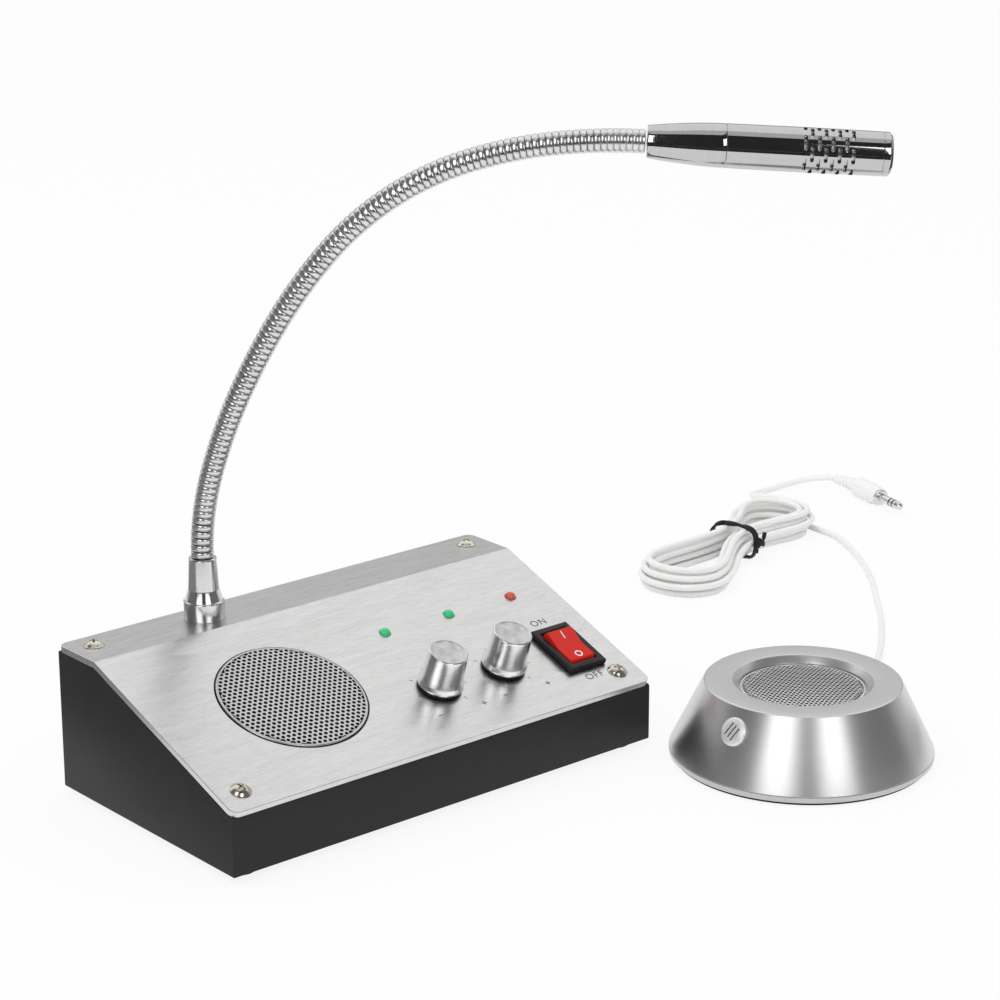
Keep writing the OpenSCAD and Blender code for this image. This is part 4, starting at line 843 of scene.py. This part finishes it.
ribProfile = [(3.0, -0.98), (3.45, -0.98), (3.65, -0.84), (3.74, -0.5), (3.75, 0.0), (3.74, 0.5), (3.65, 0.84),
              (3.45, 0.98), (3.0, 0.98)]
ribPart = looseObject("ribPart", meshOf(lathe(ribProfile, 36)))
whole = neck["link"] * 8
for i in range(9):
    first = 0.0 if i == 0 else (i - 0.5) * neck["link"]
    last = whole + 0.45 if i == 8 else (i + 0.5) * neck["link"]
    count = round((last - first) / (neck["link"] / neck["ribs"]))
    line = [neckPoint(first + (last - first) * k / neck["steps"])[0] for k in range(neck["steps"] + 1)]
    if i == 0:
        line[0] = line[0] - Vector((0, 0, 0.3))
    skin = grow(polyCurve(line), ribs, {"Part": ribPart, "Count": count, "Core Radius": neck["coreR"],
                                        "Finish": neckMetal, "Core Finish": neckCore})
    skin.transform(place())
    piece = settle("neckSkin%d" % (i + 1), skin, None, None, keepLooks=True, sharp=50)
    joint, way = neckPoint(i * neck["link"])
    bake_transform(piece)
    if i < 8:
        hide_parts("neck_link_%d" % (i + 1))
bpy.data.objects.remove(ribPart)
print("gooseneck ready")

# microphone
mic = {"tailR": 5.1, "r": 7.0, "sleeve": 24.6, "length": 75.6, "wall": 1.1, "rows": 8, "perRow": 6,
       "slotFirst": 48.6, "slotStep": 2.1, "slot": (3.0, 4.9, 1.15)}
joint, way = neckPoint(whole)
heading = turnBy(neck["heading"], "Z")
atMic = place(Matrix.Translation(joint) @ heading @ turnBy(sum(neck["bends"]), "Y"))
sleeveProfile = [(1.0, 6.0), (1.0, 0.9), (1.2, 0.6)]
for k in range(17):
    z = 0.6 + (mic["sleeve"] - 0.6) * k / 16
    r = mic["tailR"] + (mic["r"] - 0.15 - mic["tailR"]) * sin(pi / 2 * (z - 0.6) / (mic["sleeve"] - 0.6))
    if k == 0:
        sleeveProfile += [(r - 0.35, z), (r - 0.1, z + 0.08), (r, z + 0.3)]
    elif k == 16:
        sleeveProfile += [(r, z - 0.2), (r - 0.06, z - 0.06), (r - 0.2, z)]
    else:
        sleeveProfile.append((r, z))
sleeveProfile += [(5.85, 24.6), (5.85, 29.5), (4.6, 29.5), (3.1, 6.0)]
settle("micSleeve", meshOf(lathe(sleeveProfile, 96), atMic), "mic", micChrome, ["mic_sleeve"], 40)
mid, far = (mic["sleeve"] + mic["length"]) / 2, mic["length"]
innerR = mic["r"] - mic["wall"]
barrelProfile = rounded([
    (innerR, 24.62), (6.7, 24.62), (6.86, 24.8), (7.0, mid, 60), (6.88, far - 3.2), (6.72, far - 3.1),
    (6.72, far - 2.8), (6.87, far - 2.7), (6.85, far - 0.9, 0.7), (5.9, far, 0.5), (0, far), (0, far - 1.1),
    (innerR, far - 1.1)], 6)
barrelMesh = meshOf(lathe(barrelProfile, 120))
slotSpots = []
for row in range(mic["rows"]):
    for i in range(mic["perRow"]):
        a = (i + (row % 2) / 2) * 2 * pi / mic["perRow"]
        r = mic["r"] - 0.2
        slotSpots.append(((r * cos(a), r * sin(a), mic["slotFirst"] + row * mic["slotStep"]), (0, 0, a)))
barrelMesh = cutWith(barrelMesh, scattered(boxMesh(mic["slot"]), slotSpots, micChrome))
barrelMesh.transform(atMic)
settle("micBarrel", barrelMesh, "mic", micChrome, ["mic_barrel"], 35)
linerProfile = [(4.9, 45.0), (5.4, 45.0), (5.4, 67.0), (4.9, 67.0)]
settle("micLiner", meshOf(lathe(linerProfile, 48), atMic), "mic", grilleMetal, (), 40)
print("microphone ready")

# outer unit
micCap = {"heading": 187, "z": 18.6, "holeR": 3.65, "boreR": 3.05, "slots": 3, "slot": (4.8, 0.62, 6.0),
          "step": 1.5, "turn": -26}
atCap = onSide(micCap["heading"], micCap["z"])
lean = outer["wall"] / cos(sideLean)
shellProfile = rounded([
    (outer["baseR"] - lean, 3.02), (outer["baseR"] - 0.25, 3.02), (outer["baseR"] - 0.02, 3.2, 0.15),
    (outer["topR"] + 0.1, 25.75, 0.2), (outer["topR"] - 0.35, 26.0, 0.2), (outer["recessR"], 26.0, 0.35),
    (21.1, 23.8, 0.1), (21.1, 22.6), (18.3, 22.6), (18.3, 21.0), (shellR(21.0) - lean, 21.0)])
shellMesh = meshOf(lathe(shellProfile, 160), atOuter())
for r, low, high, steps, matrix in ((micCap["holeR"], -8, 2, 48, atCap), (relief["holeR"], 31.3, 51.3, 40, atExit)):
    hole = lathe([(0, low), (r, low), (r, high), (0, high)], steps)
    shellMesh = cutWith(shellMesh, meshOf(hole, matrix))
settle("outerShell", shellMesh, "root", shellMetal, ["outer_shell"], 25)
capProfile = rounded([(0, -5), (3.6, -5), (3.6, 0), (4.65, 0, 0.1), (4.65, 0.5, 0.3), (4.2, 0.95, 0.6),
                      (3.0, 1.28, 1.5), (0, 1.42)])
capMesh = meshOf(lathe(capProfile, 64))
capBore = bmesh.new()
bmesh.ops.create_cone(capBore, cap_ends=True, segments=40, radius1=micCap["boreR"], radius2=micCap["boreR"],
                      depth=6.2, matrix=shiftBy(0, 0, -2.9))
slotBm = bmesh.new()
for i in range(micCap["slots"]):
    for vertex in bmesh.ops.create_cube(slotBm, size=1.0)["verts"]:
        vertex.co = (Vector(vertex.co[k] * micCap["slot"][k] for k in range(3))
                     + Vector((0, (i - 1) * micCap["step"], 1.0)))
for cutter, turn in ((capBore, 0), (slotBm, micCap["turn"])):
    capMesh = cutWith(capMesh, meshOf(cutter, turnBy(turn, "Z")))
capMesh.transform(atCap)
settle("outerMicCap", capMesh, "root", capMetal, ["outer_mic_cap"], 30)
print("outer unit ready")

# carried-over CAD nodes take their finishes
carried = (
    (rubber, "rubber_feet base_pad"), (paintedBasket, "driver_basket outer_driver"), (ferrite, "driver_magnet"),
    (paperCone, "driver_cone outer_cone"), (lampGreen, "lamp_inside lamp_outside"), (lampRed, "lamp_power"),
    (platedSteel, "pot_inside pot_outside pot_shaft_inside pot_shaft_outside neck_nut"),
    (screwMetal, "pot_nuts base_screws"), (contactBrass, "switch_tabs"), (boardGreen, "main_pcb"),
    (mouldedBlack, "knob_core_inside knob_core_outside dc_socket jack_socket plug_rings"),
    (finBlack, "amp_heatsink"), (sleeveBlue, "capacitors"), (baseMetal, "outer_base"),
    (capsuleFelt, "mic_capsule outer_mic_capsule"))
for material, nodes in carried:
    for node in nodes.split():
        mesh = cadNodes[node].data
        for i in range(len(mesh.materials)):
            mesh.materials[i] = material
        if not mesh.materials:
            mesh.materials.append(material)
print("carried-over nodes finished")

# studio: white surroundings, a pale floor, and dark and bright cards that only metal sees
studio = {"floorShare": 0.88, "floorTone": 0.93, "fill": 0.82, "key": 7.0, "keySize": 1.2,
          "keyAt": (-0.5, 0.1, 1.6), "keyTo": (0.1, 0, 0.05), "cameraSide": 229.65}


def stageTree(owner):
    owner.use_nodes = True
    owner.node_tree.nodes.clear()
    return owner.node_tree


def glossyOnly(name, rows, level):
    # card through rows of points
    bm = bmesh.new()
    lines = [[bm.verts.new(point) for point in row] for row in rows]
    for here, after in zip(lines, lines[1:]):
        for k in range(len(here) - 1):
            bm.faces.new((here[k], here[k + 1], after[k + 1], after[k]))
    card = looseObject(name, meshOf(bm))
    material = bpy.data.materials.new(name)
    tree = stageTree(material)
    glow = treeNode(tree, "ShaderNodeEmission", Color=(1, 1, 1, 1), Strength=level)
    treeNode(tree, "ShaderNodeOutputMaterial", Surface=glow[0])
    card.data.materials.append(material)
    card.visible_camera = False
    card.visible_diffuse = False
    card.visible_shadow = False
    card.visible_transmission = False


def skyCard(name, offset, spread, low, high, level, radius=2.5):
    middle = studio["cameraSide"] + offset
    rows = []
    for i in range(25):
        a = radians(middle + spread * (i / 12 - 1))
        heights = [radians(low + (high - low) * k / 12) for k in range(13)]
        rows.append([(radius * cos(e) * cos(a), radius * cos(e) * sin(a),
                      radius * sin(e) + 0.05) for e in heights])
    glossyOnly(name, rows, level)


def floorCard(name, offset, spread, near, level, far=2.5):
    # flat sector just over the floor, for low reflections
    middle = studio["cameraSide"] + offset
    turns = [radians(middle + spread * (k / 8 - 1)) for k in range(17)]
    glossyOnly(name, [[(r * cos(a), r * sin(a), -0.0001) for r in (near, far)] for a in turns], level)


skyCard("darkCard", 0, 52, -1, 66, 0.03)
skyCard("sideCard", -79, 27, -1, 66, 0.16)
skyCard("sideCard", 79, 27, -1, 66, 0.16)
skyCard("highCard", 0, 105, 66, 88, 0.6)
skyCard("greyCard", -180, 74, 1, 27, 0.5)
skyCard("brightCard", -26, 16, 13, 56, 2.3, 2.3)
skyCard("brightCard", 30, 14, 13, 44, 2.3, 2.3)
floorCard("frontFloor", 0, 60, 0.62, 0.03)
floorCard("leftFloor", -90, 30, 0.2, 0.25)
floorCard("rightFloor", 96, 22, 0.2, 0.1)


def seenStraight(tree):
    # 1 for rays from the camera and from metal
    rays = treeNode(tree, "ShaderNodeLightPath")
    seen = sums(tree, "ADD", rays["Is Camera Ray"], rays["Is Glossy Ray"], clamp=True)
    return sums(tree, "ADD", seen, rays["Is Transmission Ray"], clamp=True)


floorBm = bmesh.new()
bmesh.ops.create_grid(floorBm, x_segments=8, y_segments=8, size=6.0)
floor = looseObject("floor", meshOf(floorBm, shiftBy(0, 0, -0.0002)))
floorPale = bpy.data.materials.new("floorPale")
tree = stageTree(floorPale)
plain = treeNode(tree, "ShaderNodeBsdfDiffuse", Color=(*grey(studio["floorTone"]), 1))
glow = treeNode(tree, "ShaderNodeEmission", Strength=1.0)
share = sums(tree, "MULTIPLY", seenStraight(tree), studio["floorShare"])
mixed = treeNode(tree, "ShaderNodeMixShader", None, {0: share, 1: plain[0], 2: glow[0]})
treeNode(tree, "ShaderNodeOutputMaterial", Surface=mixed[0])
floor.data.materials.append(floorPale)

scene.world = bpy.data.worlds.new("whiteStudio")
tree = stageTree(scene.world)
fillSky = treeNode(tree, "ShaderNodeBackground", Color=(1, 1, 1, 1), Strength=studio["fill"])
seenSky = treeNode(tree, "ShaderNodeBackground", Color=(1, 1, 1, 1), Strength=1.0)
mixed = treeNode(tree, "ShaderNodeMixShader", None, {0: seenStraight(tree), 1: fillSky[0], 2: seenSky[0]})
treeNode(tree, "ShaderNodeOutputWorld", Surface=mixed[0])

keyData = bpy.data.lights.new("softKey", "AREA")
keyData.shape = "SQUARE"
keyData.size = studio["keySize"]
keyData.energy = studio["key"]
keyLight = bpy.data.objects.new("softKey", keyData)
keyLight.location = studio["keyAt"]
keyLight.rotation_euler = (Vector(studio["keyTo"]) - Vector(studio["keyAt"])).to_track_quat("-Z", "Y").to_euler()
keyLight.visible_glossy = False
scene.collection.objects.link(keyLight)
print("studio ready")
